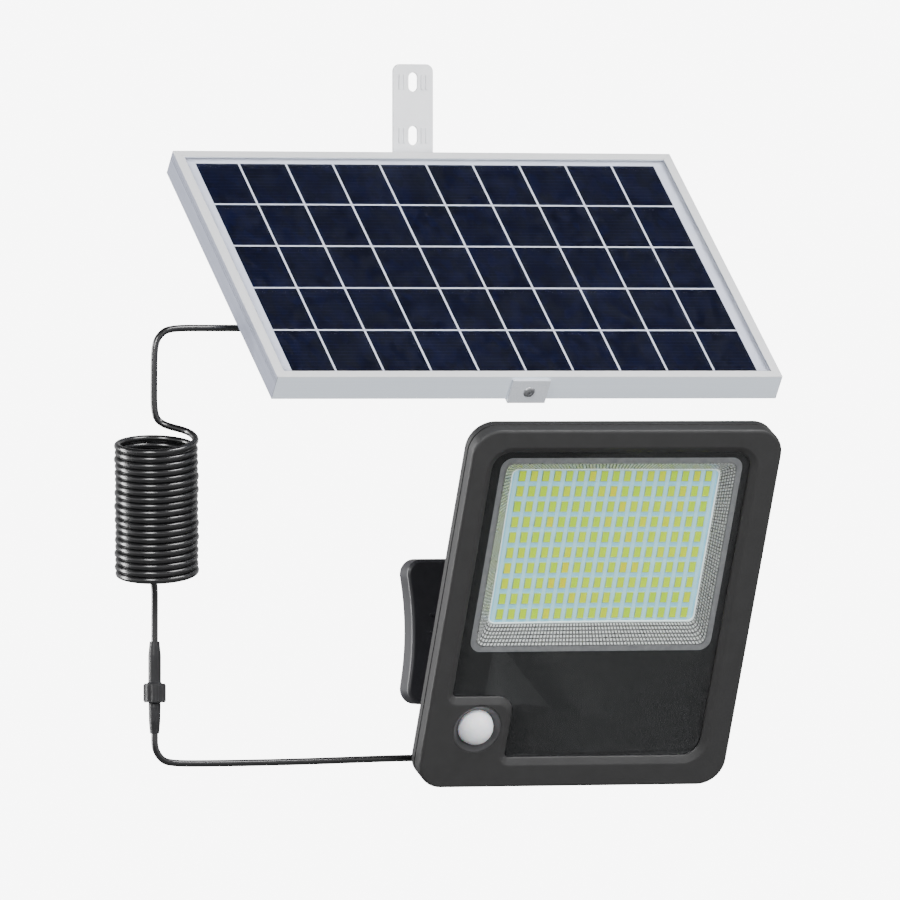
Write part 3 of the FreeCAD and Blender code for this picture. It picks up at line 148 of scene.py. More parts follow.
class Finish:
    """One procedural finish while it is being built: its nodes, and where a point is."""

    def __init__(self, name):
        self.material = bpy.data.materials.new(name)
        self.material.use_nodes = True
        self.nodes = self.material.node_tree.nodes
        self.links = self.material.node_tree.links
        self.shader = self.nodes["Principled BSDF"]
        self.place = self.nodes.new("ShaderNodeTexCoord").outputs["Object"]

    def set(self, **numbers):
        for name, number in numbers.items():
            self.shader.inputs[name.replace("_", " ")].default_value = number
        return self

    def join(self, source, socket):
        self.links.new(source, socket)

    def turned_place(self, spot, angle):
        """Measure places from a spot, in a frame turned about X."""
        mapping = self.nodes.new("ShaderNodeMapping")
        mapping.vector_type = "TEXTURE"
        mapping.inputs["Location"].default_value = spot
        mapping.inputs["Rotation"].default_value = (angle, 0, 0)
        self.join(self.place, mapping.inputs["Vector"])
        self.place = mapping.outputs["Vector"]
        return self

    def stretched(self, across, up, out):
        mapping = self.nodes.new("ShaderNodeMapping")
        mapping.inputs["Scale"].default_value = (across, up, out)
        self.join(self.place, mapping.inputs["Vector"])
        return mapping.outputs["Vector"]

    def noise(self, scale, detail, place=None, rough=0.55):
        grain = self.nodes.new("ShaderNodeTexNoise")
        grain.inputs["Scale"].default_value = scale
        grain.inputs["Detail"].default_value = detail
        grain.inputs["Roughness"].default_value = rough
        self.join(place or self.place, grain.inputs["Vector"])
        return grain.outputs["Fac"]

    def ramp(self, source, stops):
        band = self.nodes.new("ShaderNodeValToRGB")
        points = band.color_ramp.elements
        while len(points) < len(stops):
            points.new(0.5)
        for point, (spot, colour) in zip(points, stops):
            point.position = spot
            point.color = (*colour, 1)
        self.join(source, band.inputs["Fac"])
        return band.outputs["Color"]

    def span(self, source, low, high, first, last, smooth=False):
        scaled = self.nodes.new("ShaderNodeMapRange")
        if smooth:
            scaled.interpolation_type = "SMOOTHSTEP"
        for socket, number in (("From Min", low), ("From Max", high), ("To Min", first), ("To Max", last)):
            scaled.inputs[socket].default_value = number
        self.join(source, scaled.inputs["Value"])
        return scaled.outputs["Result"]

    def sum(self, kind, first, second):
        step = self.nodes.new("ShaderNodeMath")
        step.operation = kind
        for socket, part in zip(step.inputs, (first, second)):
            if isinstance(part, (int, float)):
                socket.default_value = part
            else:
                self.join(part, socket)
        return step.outputs["Value"]

    def blended(self, amount, first, second):
        mix = self.nodes.new("ShaderNodeMix")
        mix.data_type = "RGBA"
        self.join(amount, mix.inputs[0])
        for socket, colour in ((mix.inputs[6], first), (mix.inputs[7], second)):
            if isinstance(colour, tuple):
                socket.default_value = (*colour, 1)
            else:
                self.join(colour, socket)
        return mix.outputs[2]

    def colour(self, source):
        self.join(source, self.shader.inputs["Base Color"])
        return self

    def roughness(self, source, low, high):
        self.join(self.span(source, 0.3, 0.7, low, high), self.shader.inputs["Roughness"])
        return self

    def relief(self, source, depth, edge=0.0):
        """Small height changes in metres, over edges rounded by the given radius."""
        bump = self.nodes.new("ShaderNodeBump")
        bump.inputs["Distance"].default_value = depth
        self.join(source, bump.inputs["Height"])
        if edge:
            rounding = self.nodes.new("ShaderNodeBevel")
            rounding.samples = 4
            rounding.inputs["Radius"].default_value = edge
            self.join(rounding.outputs["Normal"], bump.inputs["Normal"])
        self.join(bump.outputs["Normal"], self.shader.inputs["Normal"])
        return self


def grained(name, dark, light, low, high, grain=900, depth=0.00003, edge=0.0, **numbers):
    """A moulded or coated surface: two close tones, an uneven gloss and a fine grain."""
    finish = Finish(name).set(**numbers)
    finish.colour(finish.ramp(finish.noise(grain / 14, 4), [(0.32, dark), (0.68, light)]))
    finish.roughness(finish.noise(grain / 5, 2), low, high)
    finish.relief(finish.noise(grain, 2), depth, edge)
    return finish.material


sheath = grained("black_pvc_sheath", (0.005, 0.005, 0.0054), (0.0075, 0.0075, 0.0082), 0.22, 0.28,
                 grain=420, depth=0.000003, Specular_IOR_Level=1.0)

LEAD_DOWN = [(-0.1950, -0.1179, 0.1980), (-0.2620, -0.1179, 0.1980), (-0.2879, -0.1181, 0.1980),
             (-0.2949, -0.1184, 0.1940), (-0.2989, -0.1188, 0.1870), (-0.2992, -0.1190, 0.1650)]
LEAD_OUT = [(-0.2893, -0.0944, 0.0190), (-0.2892, -0.0940, 0.0070), (-0.2892, -0.0940, -0.0070)]

coil_middle = Vector((-0.3020, -0.1309, 0.0832))
coil_frame = Matrix.Rotation(math.radians(-22.2), 4, "Z") @ Matrix.Rotation(math.radians(13), 4, "X")
coil_radius = 0.02465
coil_turns = 20
coil_pitch = 0.00440
points_a_turn = 16


def coil_spot(across, back, up):
    return coil_middle + coil_frame @ Vector((across, back, up))


route = [Vector(spot) for spot in LEAD_DOWN]
route += [coil_spot(-0.0020, 0.0251, 0.0545), coil_spot(0.0036, 0.0252, 0.0484)]
# Bends that follow a round line inside their points: the points stand a little outside it.
reach_out = coil_radius / math.cos(math.pi / points_a_turn)
first_step = 2
last_step = coil_turns * points_a_turn - 2
top_lift = 0.0032
lifted_steps = 7
for step in range(first_step, last_step + 1):
    turned = math.radians(90 - 360 * step / points_a_turn)
    lift = top_lift * max(0.0, 1 - (step - first_step) / lifted_steps) ** 2
    wander = 0.00028 * math.sin(step * 0.171) + 0.00016 * math.sin(step * 0.447 + 1)
    height = coil_turns * coil_pitch / 2 - coil_pitch * step / points_a_turn + lift
    route.append(coil_spot((reach_out + wander) * math.cos(turned), (reach_out + wander) * math.sin(turned),
                           height))
route += [coil_spot(-0.0072, 0.0242, -0.0466), coil_spot(-0.0020, 0.0250, -0.0540)]
route += [Vector(spot) for spot in LEAD_OUT]


def nurbs_line(name, spots, thick=0.0):
    """A smooth open line through the route's control points, round if it has a thickness."""
    curve = bpy.data.curves.new(name, "CURVE")
    curve.dimensions = "3D"
    curve.resolution_u = 4
    line = curve.splines.new("NURBS")
    line.points.add(len(spots) - 1)
    for point, spot in zip(line.points, spots):
        point.co = (*spot, 1)
    line.order_u = 3
    line.use_endpoint_u = True
    line.resolution_u = 4
    if thick:
        curve.bevel_depth = thick / 2
        curve.bevel_resolution = 7
        curve.use_fill_caps = True
    line_object = bpy.data.objects.new(name, curve)
    bpy.context.scene.collection.objects.link(line_object)
    return line_object


def line_length(spots):
    return sum((after - before).length for before, after in zip(spots, spots[1:]))


def read_line(name, spots):
    """The points along the smooth line as it is drawn."""
    bare = nurbs_line(name, spots)
    bpy.context.view_layer.update()
    graph = bpy.context.evaluated_depsgraph_get()
    mesh = bpy.data.meshes.new_from_object(bare.evaluated_get(graph))
    found = [vertex.co.copy() for vertex in mesh.vertices]
    bpy.data.meshes.remove(mesh)
    bpy.data.objects.remove(bare)
    return found


panel_cord = nurbs_line("panel_cord", route, CORD_THICK)
panel_cord.data.materials.append(sheath)
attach(panel_cord, "brackets_and_cord")
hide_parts("panel_lead", "cable_coil", "plug_lead")
line_length(read_line("panel_cord_line", route))

# ---- Lamp cord -------------------------------------------------------------------------------
# The same flex from the connector's socket to the gland in the lamp's side.  It bends between
# the two.
LAMP_ROUTE = [(-0.2892, -0.0940, -0.0560), (-0.2892, -0.0940, -0.0620), (-0.2892, -0.0940, -0.0712),
              (-0.2853, -0.0936, -0.0779), (-0.2786, -0.0928, -0.0814), (-0.2500, -0.0896, -0.0818),
              (-0.2100, -0.0849, -0.0818), (-0.1700, -0.0802, -0.0814), (-0.1380, -0.0760, -0.0808),
              (-0.1122, -0.07418, -0.08036), (-0.0990, -0.07417, -0.08037), (-0.0900, -0.07417, -0.08037)]
lamp_route = [Vector(spot) for spot in LAMP_ROUTE]
lamp_line = read_line("lamp_cord_line", lamp_route)
round_line = nurbs_line("lamp_cord_round", lamp_route, CORD_THICK)
bpy.context.view_layer.update()
lamp_tube = bpy.data.meshes.new_from_object(
    round_line.evaluated_get(bpy.context.evaluated_depsgraph_get()))
bpy.data.objects.remove(round_line)
lamp_tube.materials.clear()
lamp_tube.materials.append(sheath)
lamp_cord = bpy.data.objects.new("lamp_cord", lamp_tube)
bpy.context.scene.collection.objects.link(lamp_cord)
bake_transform(lamp_cord)
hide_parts("lamp_lead", "lamp_lead_end")

# ---- Connector -------------------------------------------------------------------------------
# A two-pole outdoor connector: a tapered plug and socket moulded onto the cord in black PVC, a
# ribbed nut that screws one to the other, a rubber ring between them, and two tinned pins.


def coat(material, *names):
    """Give CAD pieces their finish, by their material slots alone."""
    for name in names:
        piece = nodes_of[name]
        for index in range(max(1, len(piece.data.materials))):
            if index >= len(piece.data.materials):
                piece.data.materials.append(material)
            piece.data.materials[index] = material


connector_black = grained("connector_black", (0.009, 0.009, 0.010), (0.014, 0.014, 0.0155), 0.34, 0.5,
                          grain=1100, depth=0.00003, edge=0.0004)
nut_black = grained("nut_black", (0.013, 0.013, 0.014), (0.020, 0.020, 0.0215), 0.42, 0.6,
                    grain=1300, depth=0.00005, edge=0.0003)
ring_rubber = grained("ring_rubber", (0.02, 0.02, 0.021), (0.04, 0.04, 0.042), 0.6, 0.8, grain=800)
tinned = grained("tinned_brass", (0.55, 0.50, 0.36), (0.72, 0.67, 0.5), 0.25, 0.4, grain=1500,
                 depth=0.00001, Metallic=1.0)
coat(connector_black, "plug_body", "socket_body")
coat(nut_black, "coupling_nut")
coat(ring_rubber, "connector_seal")
coat(tinned, "plug_pins", "junction_terminals")
coat(sheath, "panel_lead_end")

# ---- Panel's wall strap ----------------------------------------------------------------------
# Pressed 2 mm steel with a pale baked coat: a flat tongue with two screw slots, each between four
# raised beads, and two cheeks that reach out to the hinge bolt.
pale_coat = grained("pale_baked_coat", (0.80, 0.81, 0.84), (0.87, 0.88, 0.90), 0.38, 0.52, grain=700,
                    depth=0.00004, edge=0.0005, Specular_IOR_Level=0.4)
coat(pale_coat, "panel_wall_strap")

# ---- Hinge hardware --------------------------------------------------------------------------
# Zinc-plated bolts, washers and a pressed wing nut.  The plating is a little cloudy and the edges
# are rounded.


def plated(name, dark, light, low, high):
    finish = Finish(name).set(Metallic=1.0)
    cloudy = finish.noise(160, 5, rough=0.7)
    finish.colour(finish.ramp(cloudy, [(0.3, dark), (0.7, light)]))
    finish.roughness(finish.noise(420, 3), low, high)
    finish.relief(finish.noise(1800, 2), 0.000012, 0.0003)
    return finish.material


zinc = plated("zinc_plate", (0.50, 0.51, 0.53), (0.70, 0.71, 0.73), 0.28, 0.42)
coat(zinc, "panel_hinge_bolt", "panel_wing_nut", "hinge_friction_washers", "lamp_hinge_bolt",
     "lamp_hinge_washers")

# ---- Solar panel frame -----------------------------------------------------------------------
# Four mitred lengths of hollow aluminium extrusion, satin anodised, pushed onto corner keys.  The
# extrusion leaves fine lines along each length, and the side rails carry two drawn grooves.
panel_tilt = math.radians(38.3)
panel_spot = Vector((-0.0727, -0.1179, 0.1980))
panel_frame = Matrix.Translation(panel_spot) @ Matrix.Rotation(panel_tilt, 4, "X")
panel_rise = 0.03105
half_panel_wide = 0.350 / 2
half_panel_tall = 0.236 / 2
lip_level = 0.0290


def anodised(name, line_scale, grooves, dark, light):
    finish = Finish(name).set(Metallic=0.2, Specular_IOR_Level=0.45)
    finish.turned_place(panel_spot, panel_tilt)
    lines = finish.noise(1, 4, finish.stretched(*line_scale))
    parts = finish.nodes.new("ShaderNodeSeparateXYZ")
    finish.join(finish.place, parts.inputs["Vector"])
    # The lip over the glass is painted brighter than the walls: a painted highlight on its up-facing top.
    lip = finish.span(parts.outputs["Z"], lip_level - 0.0006, lip_level - 0.0002, 0.0, 1.0)
    walls = finish.ramp(lines, [(0.25, dark), (0.75, light)])
    finish.colour(finish.blended(lip, walls, (0.93, 0.94, 0.96)))
    finish.roughness(finish.noise(300, 3), 0.38, 0.5)
    height = finish.span(lines, 0.0, 1.0, 0.0, 0.06)
    for level in grooves:
        away = finish.sum("ABSOLUTE", finish.sum("SUBTRACT", parts.outputs["Z"], level), 0)
        height = finish.sum("ADD", height, finish.span(away, 0.0001, 0.00055, -1.0, 0.0, True))
    finish.relief(height, 0.0004, 0.0004)
    return finish.material


# The top and bottom lengths get light tones and the side lengths dark ones: painted light and painted shade
# on the one anodised finish.
painted_lit_long_rail = anodised("anodised_long_rail", (4, 900, 900), (), (0.78, 0.85, 0.94), (0.84, 0.91, 0.99))
painted_shade_side_rail = anodised("anodised_side_rail", (900, 4, 900), (0.0236, 0.0256), (0.25, 0.27, 0.34),
                     (0.32, 0.34, 0.43))
coat(painted_lit_long_rail, "frame_rail_top", "frame_rail_bottom")
coat(painted_shade_side_rail, "frame_rail_left", "frame_rail_right")
coat(plated("mill_key", (0.45, 0.46, 0.47), (0.6, 0.61, 0.62), 0.4, 0.55), "frame_corner_keys")
coat(anodised("anodised_crossbar", (900, 4, 900), (), (0.60, 0.63, 0.68), (0.70, 0.73, 0.78)),
     "panel_crossbar")

# ---- Laminate --------------------------------------------------------------------------------
# White backsheet, milky film, fifty cut polycrystalline cells and the tempered glass.  The cells
# show their crystal mottling and the fine silver fingers printed across them.
backsheet_white = grained("backsheet_white", (0.78, 0.79, 0.84), (0.85, 0.86, 0.89), 0.5, 0.65, grain=1000)
film_milk = grained("milky_film", (0.66, 0.66, 0.76), (0.74, 0.74, 0.82), 0.3, 0.42, grain=900,
                    depth=0.00001)
coat(backsheet_white, "backsheet")
coat(film_milk, "encapsulant")
coat(ring_rubber, "glass_gasket")

silicon = Finish("polycrystalline_silicon").set(Specular_IOR_Level=0.2)
silicon.turned_place(panel_spot, panel_tilt)
crystals = silicon.nodes.new("ShaderNodeTexVoronoi")
crystals.inputs["Scale"].default_value = 210
silicon.join(silicon.stretched(1.0, 0.62, 1.0), crystals.inputs["Vector"])
grey = silicon.nodes.new("ShaderNodeSeparateColor")
silicon.join(crystals.outputs["Color"], grey.inputs["Color"])
broad = silicon.noise(26, 2)
tone = silicon.sum("ADD", silicon.sum("MULTIPLY", grey.outputs["Red"], 0.42),
                   silicon.sum("MULTIPLY", broad, 0.62))
deep_blue = silicon.ramp(tone, [(0.2, (0.0006, 0.0009, 0.0040)), (0.5, (0.0008, 0.0012, 0.0075)),
                                (0.85, (0.0012, 0.0020, 0.0150))])
cell_parts = silicon.nodes.new("ShaderNodeSeparateXYZ")
silicon.join(silicon.place, cell_parts.inputs["Vector"])
# Fingers run across the panel, a dozen to a cell.
half_finger_pitch = 0.00177
finger_away = silicon.sum("PINGPONG", cell_parts.outputs["Y"], half_finger_pitch)
finger = silicon.span(finger_away, 0.00012, 0.00042, 1.0, 0.0, True)
finger = silicon.sum("MULTIPLY", finger, silicon.span(silicon.noise(60, 2), 0.35, 0.65, 0.25, 0.8))
silicon.colour(silicon.blended(finger, deep_blue, (0.010, 0.013, 0.036)))
silicon.roughness(grey.outputs["Green"], 0.3, 0.45)
coat(silicon.material, "solar_cells")


def outline(corners, steps=8):
    """Points round a closed outline of (x, y, radius) corners, the same number at every corner."""
    spots = []
    count = len(corners)
    for index, (x, y, radius) in enumerate(corners):
        spot = Vector((x, y))
        back = (Vector(corners[index - 1][:2]) - spot).normalized()
        ahead = (Vector(corners[(index + 1) % count][:2]) - spot).normalized()
        half = back.angle(ahead) / 2
        centre = spot + (back + ahead).normalized() * (radius / math.sin(half))
        first = spot + back * (radius / math.tan(half)) - centre
        last = spot + ahead * (radius / math.tan(half)) - centre
        swing = first.angle_signed(last) if radius else 0
        for step in range(steps + 1):
            turn = Matrix.Rotation(-swing * step / steps, 2)
            spots.append(centre + turn @ first)
    return spots


def box_outline(left, right, low, high, radius, steps=8):
    return outline([(left, low, radius), (right, low, radius), (right, high, radius),
                    (left, high, radius)], steps)


def ring_at(bm, spots, level):
    return [bm.verts.new((x, y, level)) for x, y in spots]


def wrap(bm, rings):
    """Quads from each ring to the next."""
    for before, after in zip(rings, rings[1:]):
        count = len(before)
        for index in range(count):
            ahead = (index + 1) % count
            bm.faces.new((before[index], before[ahead], after[ahead], after[index]))


def flat(bm, *loops):
    """A flat face inside the first loop, open where the other loops are."""
    verts = [vert for loop in loops for vert in loop]
    for corners in geometry.tessellate_polygon([[vert.co for vert in loop] for loop in loops]):
        bm.faces.new([verts[corner] for corner in corners])


def made(bm, name, frame_matrix, material, smooth=35):
    """Close the mesh, point its faces out and put it in its frame."""
    bmesh.ops.remove_doubles(bm, verts=bm.verts, dist=1e-6)
    bmesh.ops.recalc_face_normals(bm, faces=bm.faces)
    mesh = bpy.data.meshes.new(name)
    bm.to_mesh(mesh)
    bm.free()
    mesh.transform(frame_matrix)
    for face in mesh.polygons:
        face.use_smooth = smooth > 0
    if smooth:
        mesh.set_sharp_from_angle(angle=math.radians(smooth))
    mesh.materials.append(material)
    piece = bpy.data.objects.new(name, mesh)
    bpy.context.scene.collection.objects.link(piece)
    return piece


def clear_glass(name, tint, bending):
    """Tempered glass, faintly wavy: it mirrors and bends what is seen, and casts no dark shadow."""
    finish = Finish(name).set(Base_Color=tint, Transmission_Weight=1.0, Roughness=0.0, IOR=bending)
    finish.relief(finish.noise(8, 1), 0.000002)
    through = finish.nodes.new("ShaderNodeBsdfTransparent")
    through.inputs["Color"].default_value = tint
    finish.join(split_by_ray(finish.material.node_tree, "Is Shadow Ray", finish.shader.outputs["BSDF"],
                             through.outputs["BSDF"]), finish.nodes["Material Output"].inputs["Surface"])
    return finish.material


cover_glass = bmesh.new()
glass_margin = 0.0024
glass_wide = half_panel_wide - glass_margin
glass_tall = half_panel_tall - glass_margin
glass_rings = []
for inset, level in ((0.0006, 0.02455), (0.0, 0.02505), (0.0, 0.0269), (0.0006, 0.0274), (0.001, 0.0274)):
    spots = box_outline(-glass_wide + inset, glass_wide - inset, panel_rise - glass_tall + inset,
                        panel_rise + glass_tall - inset, 0.0015)
    glass_rings.append(ring_at(cover_glass, spots, level))
wrap(cover_glass, glass_rings)
flat(cover_glass, glass_rings[0])
flat(cover_glass, glass_rings[-1])
panel_cover = made(cover_glass, "panel_cover_glass", panel_frame,
                   clear_glass("panel_tempered_glass", (0.96, 0.98, 1.0, 1), 1.34))
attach(panel_cover, "solar_panel")
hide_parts("panel_glass")

# ---- Junction box ----------------------------------------------------------------------------
# Black moulded box glued to the backsheet, with its lid, seal, cord gland and by-pass diode.
box_black = grained("box_black", (0.02, 0.02, 0.022), (0.038, 0.038, 0.041), 0.42, 0.6, grain=1200,
                    depth=0.00006, edge=0.0005)
coat(box_black, "junction_box_base", "junction_box_lid", "panel_gland", "lamp_gland")
coat(ring_rubber, "junction_box_seal")
coat(grained("diode_epoxy", (0.012, 0.012, 0.012), (0.03, 0.03, 0.03), 0.2, 0.35), "bypass_diode")

# ---- Screws ----------------------------------------------------------------------------------
# Zinc-plated pan-head screws with a cross recess, in rows: two hold the crossbar's folded tabs,
# four the junction box's lid, and ten the lamp's rear housing.


def open_tree(name, *inputs):
    """A new tree with its named inputs: each has a kind and, if it needs one, a first amount."""
    tree = bpy.data.node_groups.new(name, "GeometryNodeTree")
    for label, kind, *amount in (("Geometry", "Geometry"), *inputs, ("Finish", "Material")):
        item = tree.interface.new_socket(label, in_out="INPUT", socket_type="NodeSocket" + kind)
        if amount:
            item.default_value = amount[0]
    tree.interface.new_socket("Geometry", in_out="OUTPUT", socket_type="NodeSocketGeometry")
    return tree, tree.nodes.new, tree.links.new, tree.nodes.new("NodeGroupInput")


def close_tree(tree, given, grown_shape):
    """The end of every tree: real geometry in the finish it was given."""
    real = tree.nodes.new("GeometryNodeRealizeInstances")
    tree.links.new(grown_shape, real.inputs["Geometry"])
    finish = tree.nodes.new("GeometryNodeSetMaterial")
    tree.links.new(real.outputs["Geometry"], finish.inputs["Geometry"])
    tree.links.new(given.outputs["Finish"], finish.inputs["Material"])
    out = tree.nodes.new("NodeGroupOutput")
    tree.links.new(finish.outputs["Geometry"], out.inputs["Geometry"])
    return tree


def screw_tree():
    """Screw heads on the points of a mesh: a low dome with a cross cut into it."""
    tree, new, link, given = open_tree("pan_head_screws", ("Head radius", "Float", 0.004),
                                       ("Head height", "Float", 0.0018), ("Recess width", "Float", 0.0009),
                                       ("Recess depth", "Float", 0.001), ("Turn", "Vector"))
    ball = new("GeometryNodeMeshUVSphere")
    ball.inputs["Segments"].default_value = 20
    ball.inputs["Rings"].default_value = 10
    ball.inputs["Radius"].default_value = 1
    squashed = new("GeometryNodeTransform")
    sizes = new("ShaderNodeCombineXYZ")
    link(given.outputs["Head radius"], sizes.inputs["X"])
    link(given.outputs["Head radius"], sizes.inputs["Y"])
    link(given.outputs["Head height"], sizes.inputs["Z"])
    link(ball.outputs["Mesh"], squashed.inputs["Geometry"])
    link(sizes.outputs["Vector"], squashed.inputs["Scale"])
    cut = new("GeometryNodeMeshBoolean")
    cut.operation = "DIFFERENCE"
    link(squashed.outputs["Geometry"], cut.inputs["Mesh 1"])
    for turned in (False, True):
        bar_size = new("ShaderNodeCombineXYZ")
        link(given.outputs["Head radius"], bar_size.inputs["Y" if turned else "X"])
        link(given.outputs["Recess width"], bar_size.inputs["X" if turned else "Y"])
        deep = new("ShaderNodeMath")
        deep.operation = "MULTIPLY"
        deep.inputs[1].default_value = 2
        link(given.outputs["Recess depth"], deep.inputs[0])
        link(deep.outputs["Value"], bar_size.inputs["Z"])
        bar = new("GeometryNodeMeshCube")
        link(bar_size.outputs["Vector"], bar.inputs["Size"])
        raised = new("GeometryNodeTransform")
        lift = new("ShaderNodeCombineXYZ")
        link(given.outputs["Head height"], lift.inputs["Z"])
        link(bar.outputs["Mesh"], raised.inputs["Geometry"])
        link(lift.outputs["Vector"], raised.inputs["Translation"])
        link(raised.outputs["Geometry"], cut.inputs["Mesh 2"])
    spread = new("GeometryNodeInstanceOnPoints")
    link(given.outputs["Geometry"], spread.inputs["Points"])
    link(cut.outputs["Mesh"], spread.inputs["Instance"])
    link(given.outputs["Turn"], spread.inputs["Rotation"])
    return close_tree(tree, given, spread.outputs["Instances"])


def grown(name, tree, base, frame_matrix, **settings):
    """Run a node tree on a base mesh and keep its result as a plain mesh in its frame."""
    carrier = bpy.data.objects.new(name, base)
    bpy.context.scene.collection.objects.link(carrier)
    modifier = carrier.modifiers.new(name, "NODES")
    modifier.node_group = tree
    for item in tree.interface.items_tree:
        key = item.name.replace(" ", "_").lower()
        if item.in_out == "INPUT" and key in settings:
            modifier[item.identifier] = settings[key]
    bpy.context.view_layer.update()
    graph = bpy.context.evaluated_depsgraph_get()
    mesh = bpy.data.meshes.new_from_object(carrier.evaluated_get(graph))
    bpy.data.objects.remove(carrier)
    mesh.transform(frame_matrix)
    piece = bpy.data.objects.new(name, mesh)
    bpy.context.scene.collection.objects.link(piece)
    return piece


def points_mesh(name, spots):
    mesh = bpy.data.meshes.new(name)
    mesh.from_pydata(spots, [], [])
    return mesh


screws = screw_tree()
tab_thick = 0.002
tab_low = panel_rise - half_panel_tall - tab_thick
tab_high = panel_rise + half_panel_tall + tab_thick
for name, height, turn in (("crossbar_screw_low", tab_low, math.pi / 2),
                           ("crossbar_screw_high", tab_high, -math.pi / 2)):
    heads = grown(name, screws, points_mesh(name, [(0, height, 0.018)]), panel_frame, head_radius=0.004,
                  head_height=0.0018, recess_width=0.0011, recess_depth=0.0011, turn=(turn, 0.0, 0.0),
                  finish=zinc)
    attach(heads, "solar_panel")
    if name == "crossbar_screw_low":
        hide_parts("crossbar_screws")
box_screws = [(x, y, -0.0096) for x in (-0.100, -0.050) for y in (-0.021, 0.021)]
lid_heads = grown("junction_lid_screws", screws, points_mesh("junction_lid_screws", box_screws), panel_frame,
                  head_radius=0.0028, head_height=0.0014, recess_width=0.0008, recess_depth=0.0009,
                  turn=(math.pi, 0.0, 0.0), finish=zinc)
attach(lid_heads, "solar_panel")
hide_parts("junction_box_screws")

lamp_tilt = math.radians(24.3)
lamp_spot = Vector((0, -0.085, 0))
lamp_frame = Matrix.Translation(lamp_spot) @ Matrix.Rotation(math.pi / 2 + lamp_tilt, 4, "X")
lamp_rise = 0.0395
face_frame = lamp_frame @ Matrix.Translation((0, lamp_rise, 0))
half_wide = 0.108
half_tall = 0.12725
rim_level = 0.033
rim_screws = [(x, y, rim_level) for y in (-half_tall * 0.72, half_tall * 0.24, half_tall * 0.72)
              for x in (-half_wide + 0.005, half_wide - 0.005)]
rim_screws += [(x, y, rim_level) for x in (-half_wide * 0.33, half_wide * 0.33)
               for y in (-half_tall + 0.004, half_tall - 0.004)]
rim_heads = grown("rear_rim_screws", screws, points_mesh("rear_rim_screws", rim_screws), face_frame,
                  head_radius=0.0028, head_height=0.0018, recess_width=0.0008, recess_depth=0.001,
                  turn=(math.pi, 0.0, 0.0), finish=zinc)
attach(rim_heads, "lamp_head")
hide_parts("housing_screws")

# ---- Wall plate and arm ----------------------------------------------------------------------
# Black satin casting, waisted at its sides, hollow behind, with three pressed ribs a side and the
# arm that carries the lamp's hinge.
plate_black = grained("black_satin_coat", (0.022, 0.022, 0.026), (0.028, 0.028, 0.033), 0.32, 0.42, grain=700,
                      depth=0.00004, edge=0.0006, Specular_IOR_Level=0.6)
coat(plate_black, "lamp_wall_bracket")

# ---- Rear housing ----------------------------------------------------------------------------
# Die-cast aluminium in a dark grey powder coat: a screwed rim, a deep back with cooling fins and
# the two hinge lugs, on a rubber seal.
casting_grey = grained("dark_powder_coat", (0.0270, 0.0270, 0.0272), (0.0300, 0.0300, 0.0304), 0.44, 0.50,
                       grain=1300, depth=0.00002, edge=0.0006, Specular_IOR_Level=0.35)
coat(casting_grey, "rear_housing")
coat(grained("collar_grey", (0.040, 0.040, 0.042), (0.050, 0.050, 0.052), 0.3, 0.4, grain=900,
             depth=0.00002, edge=0.0004), "sensor_collar")
coat(grained("seal_rubber", (0.012, 0.012, 0.012), (0.025, 0.025, 0.025), 0.6, 0.75), "housing_seal")
coat(box_black, "lamp_hinge_knob")

# ---- Inside the housing ----------------------------------------------------------------------
# Six sleeved cells in a black holder, the control board with its parts, and the push switch behind
# its rubber boot.
sleeve = Finish("cell_sleeve").set(Coat_Weight=0.4, Coat_Roughness=0.15)
sleeve.turned_place(lamp_spot, math.pi / 2 + lamp_tilt)
sleeve.colour(sleeve.ramp(sleeve.noise(1, 3, sleeve.stretched(30, 300, 300)),
                          [(0.3, (0.03, 0.16, 0.36)), (0.7, (0.05, 0.24, 0.46))]))
sleeve.roughness(sleeve.noise(200, 2), 0.25, 0.4)
coat(sleeve.material, "battery_cells")
coat(grained("holder_black", (0.03, 0.03, 0.03), (0.06, 0.06, 0.06), 0.5, 0.65), "battery_holder")
board_green = grained("board_green", (0.01, 0.11, 0.045), (0.025, 0.19, 0.08), 0.3, 0.45, grain=1800,
                      depth=0.00003)
coat(board_green, "control_board", "sensor_board")
boot_rubber = grained("boot_rubber", (0.022, 0.022, 0.024), (0.04, 0.04, 0.043), 0.6, 0.75, grain=900,
                      edge=0.0004)
coat(boot_rubber, "power_button", "switch_boot")
coat(grained("switch_case", (0.06, 0.06, 0.06), (0.1, 0.1, 0.1), 0.4, 0.55), "switch_body")

# ---- Light engine ----------------------------------------------------------------------------
# An aluminium board under a pale solder mask on its heat spreader, with 170 packages of yellow
# phosphor in 17 columns; each is a shallow cup, some are tinted a little warmer than others, and all
# are given a faint painted glow.
mask_pale = Finish("pale_solder_mask")
mask_pale.turned_place(lamp_spot, math.pi / 2 + lamp_tilt)
board_parts = mask_pale.nodes.new("ShaderNodeSeparateXYZ")
mask_pale.join(mask_pale.place, board_parts.inputs["Vector"])
track = mask_pale.sum("PINGPONG", board_parts.outputs["X"], 0.004)
track = mask_pale.span(track, 0.0026, 0.0031, 0.0, 1.0, True)
board_tone = mask_pale.ramp(mask_pale.noise(90, 3), [(0.3, (0.24, 0.60, 0.78)), (0.7, (0.31, 0.66, 0.82))])
mask_pale.colour(mask_pale.blended(track, board_tone, (0.42, 0.72, 0.84)))
mask_pale.roughness(mask_pale.noise(500, 2), 0.3, 0.45)
mask_pale.relief(track, 0.00004)
coat(mask_pale.material, "led_board")
coat(plated("mill_plate", (0.45, 0.46, 0.47), (0.62, 0.63, 0.64), 0.35, 0.5), "heat_spreader")


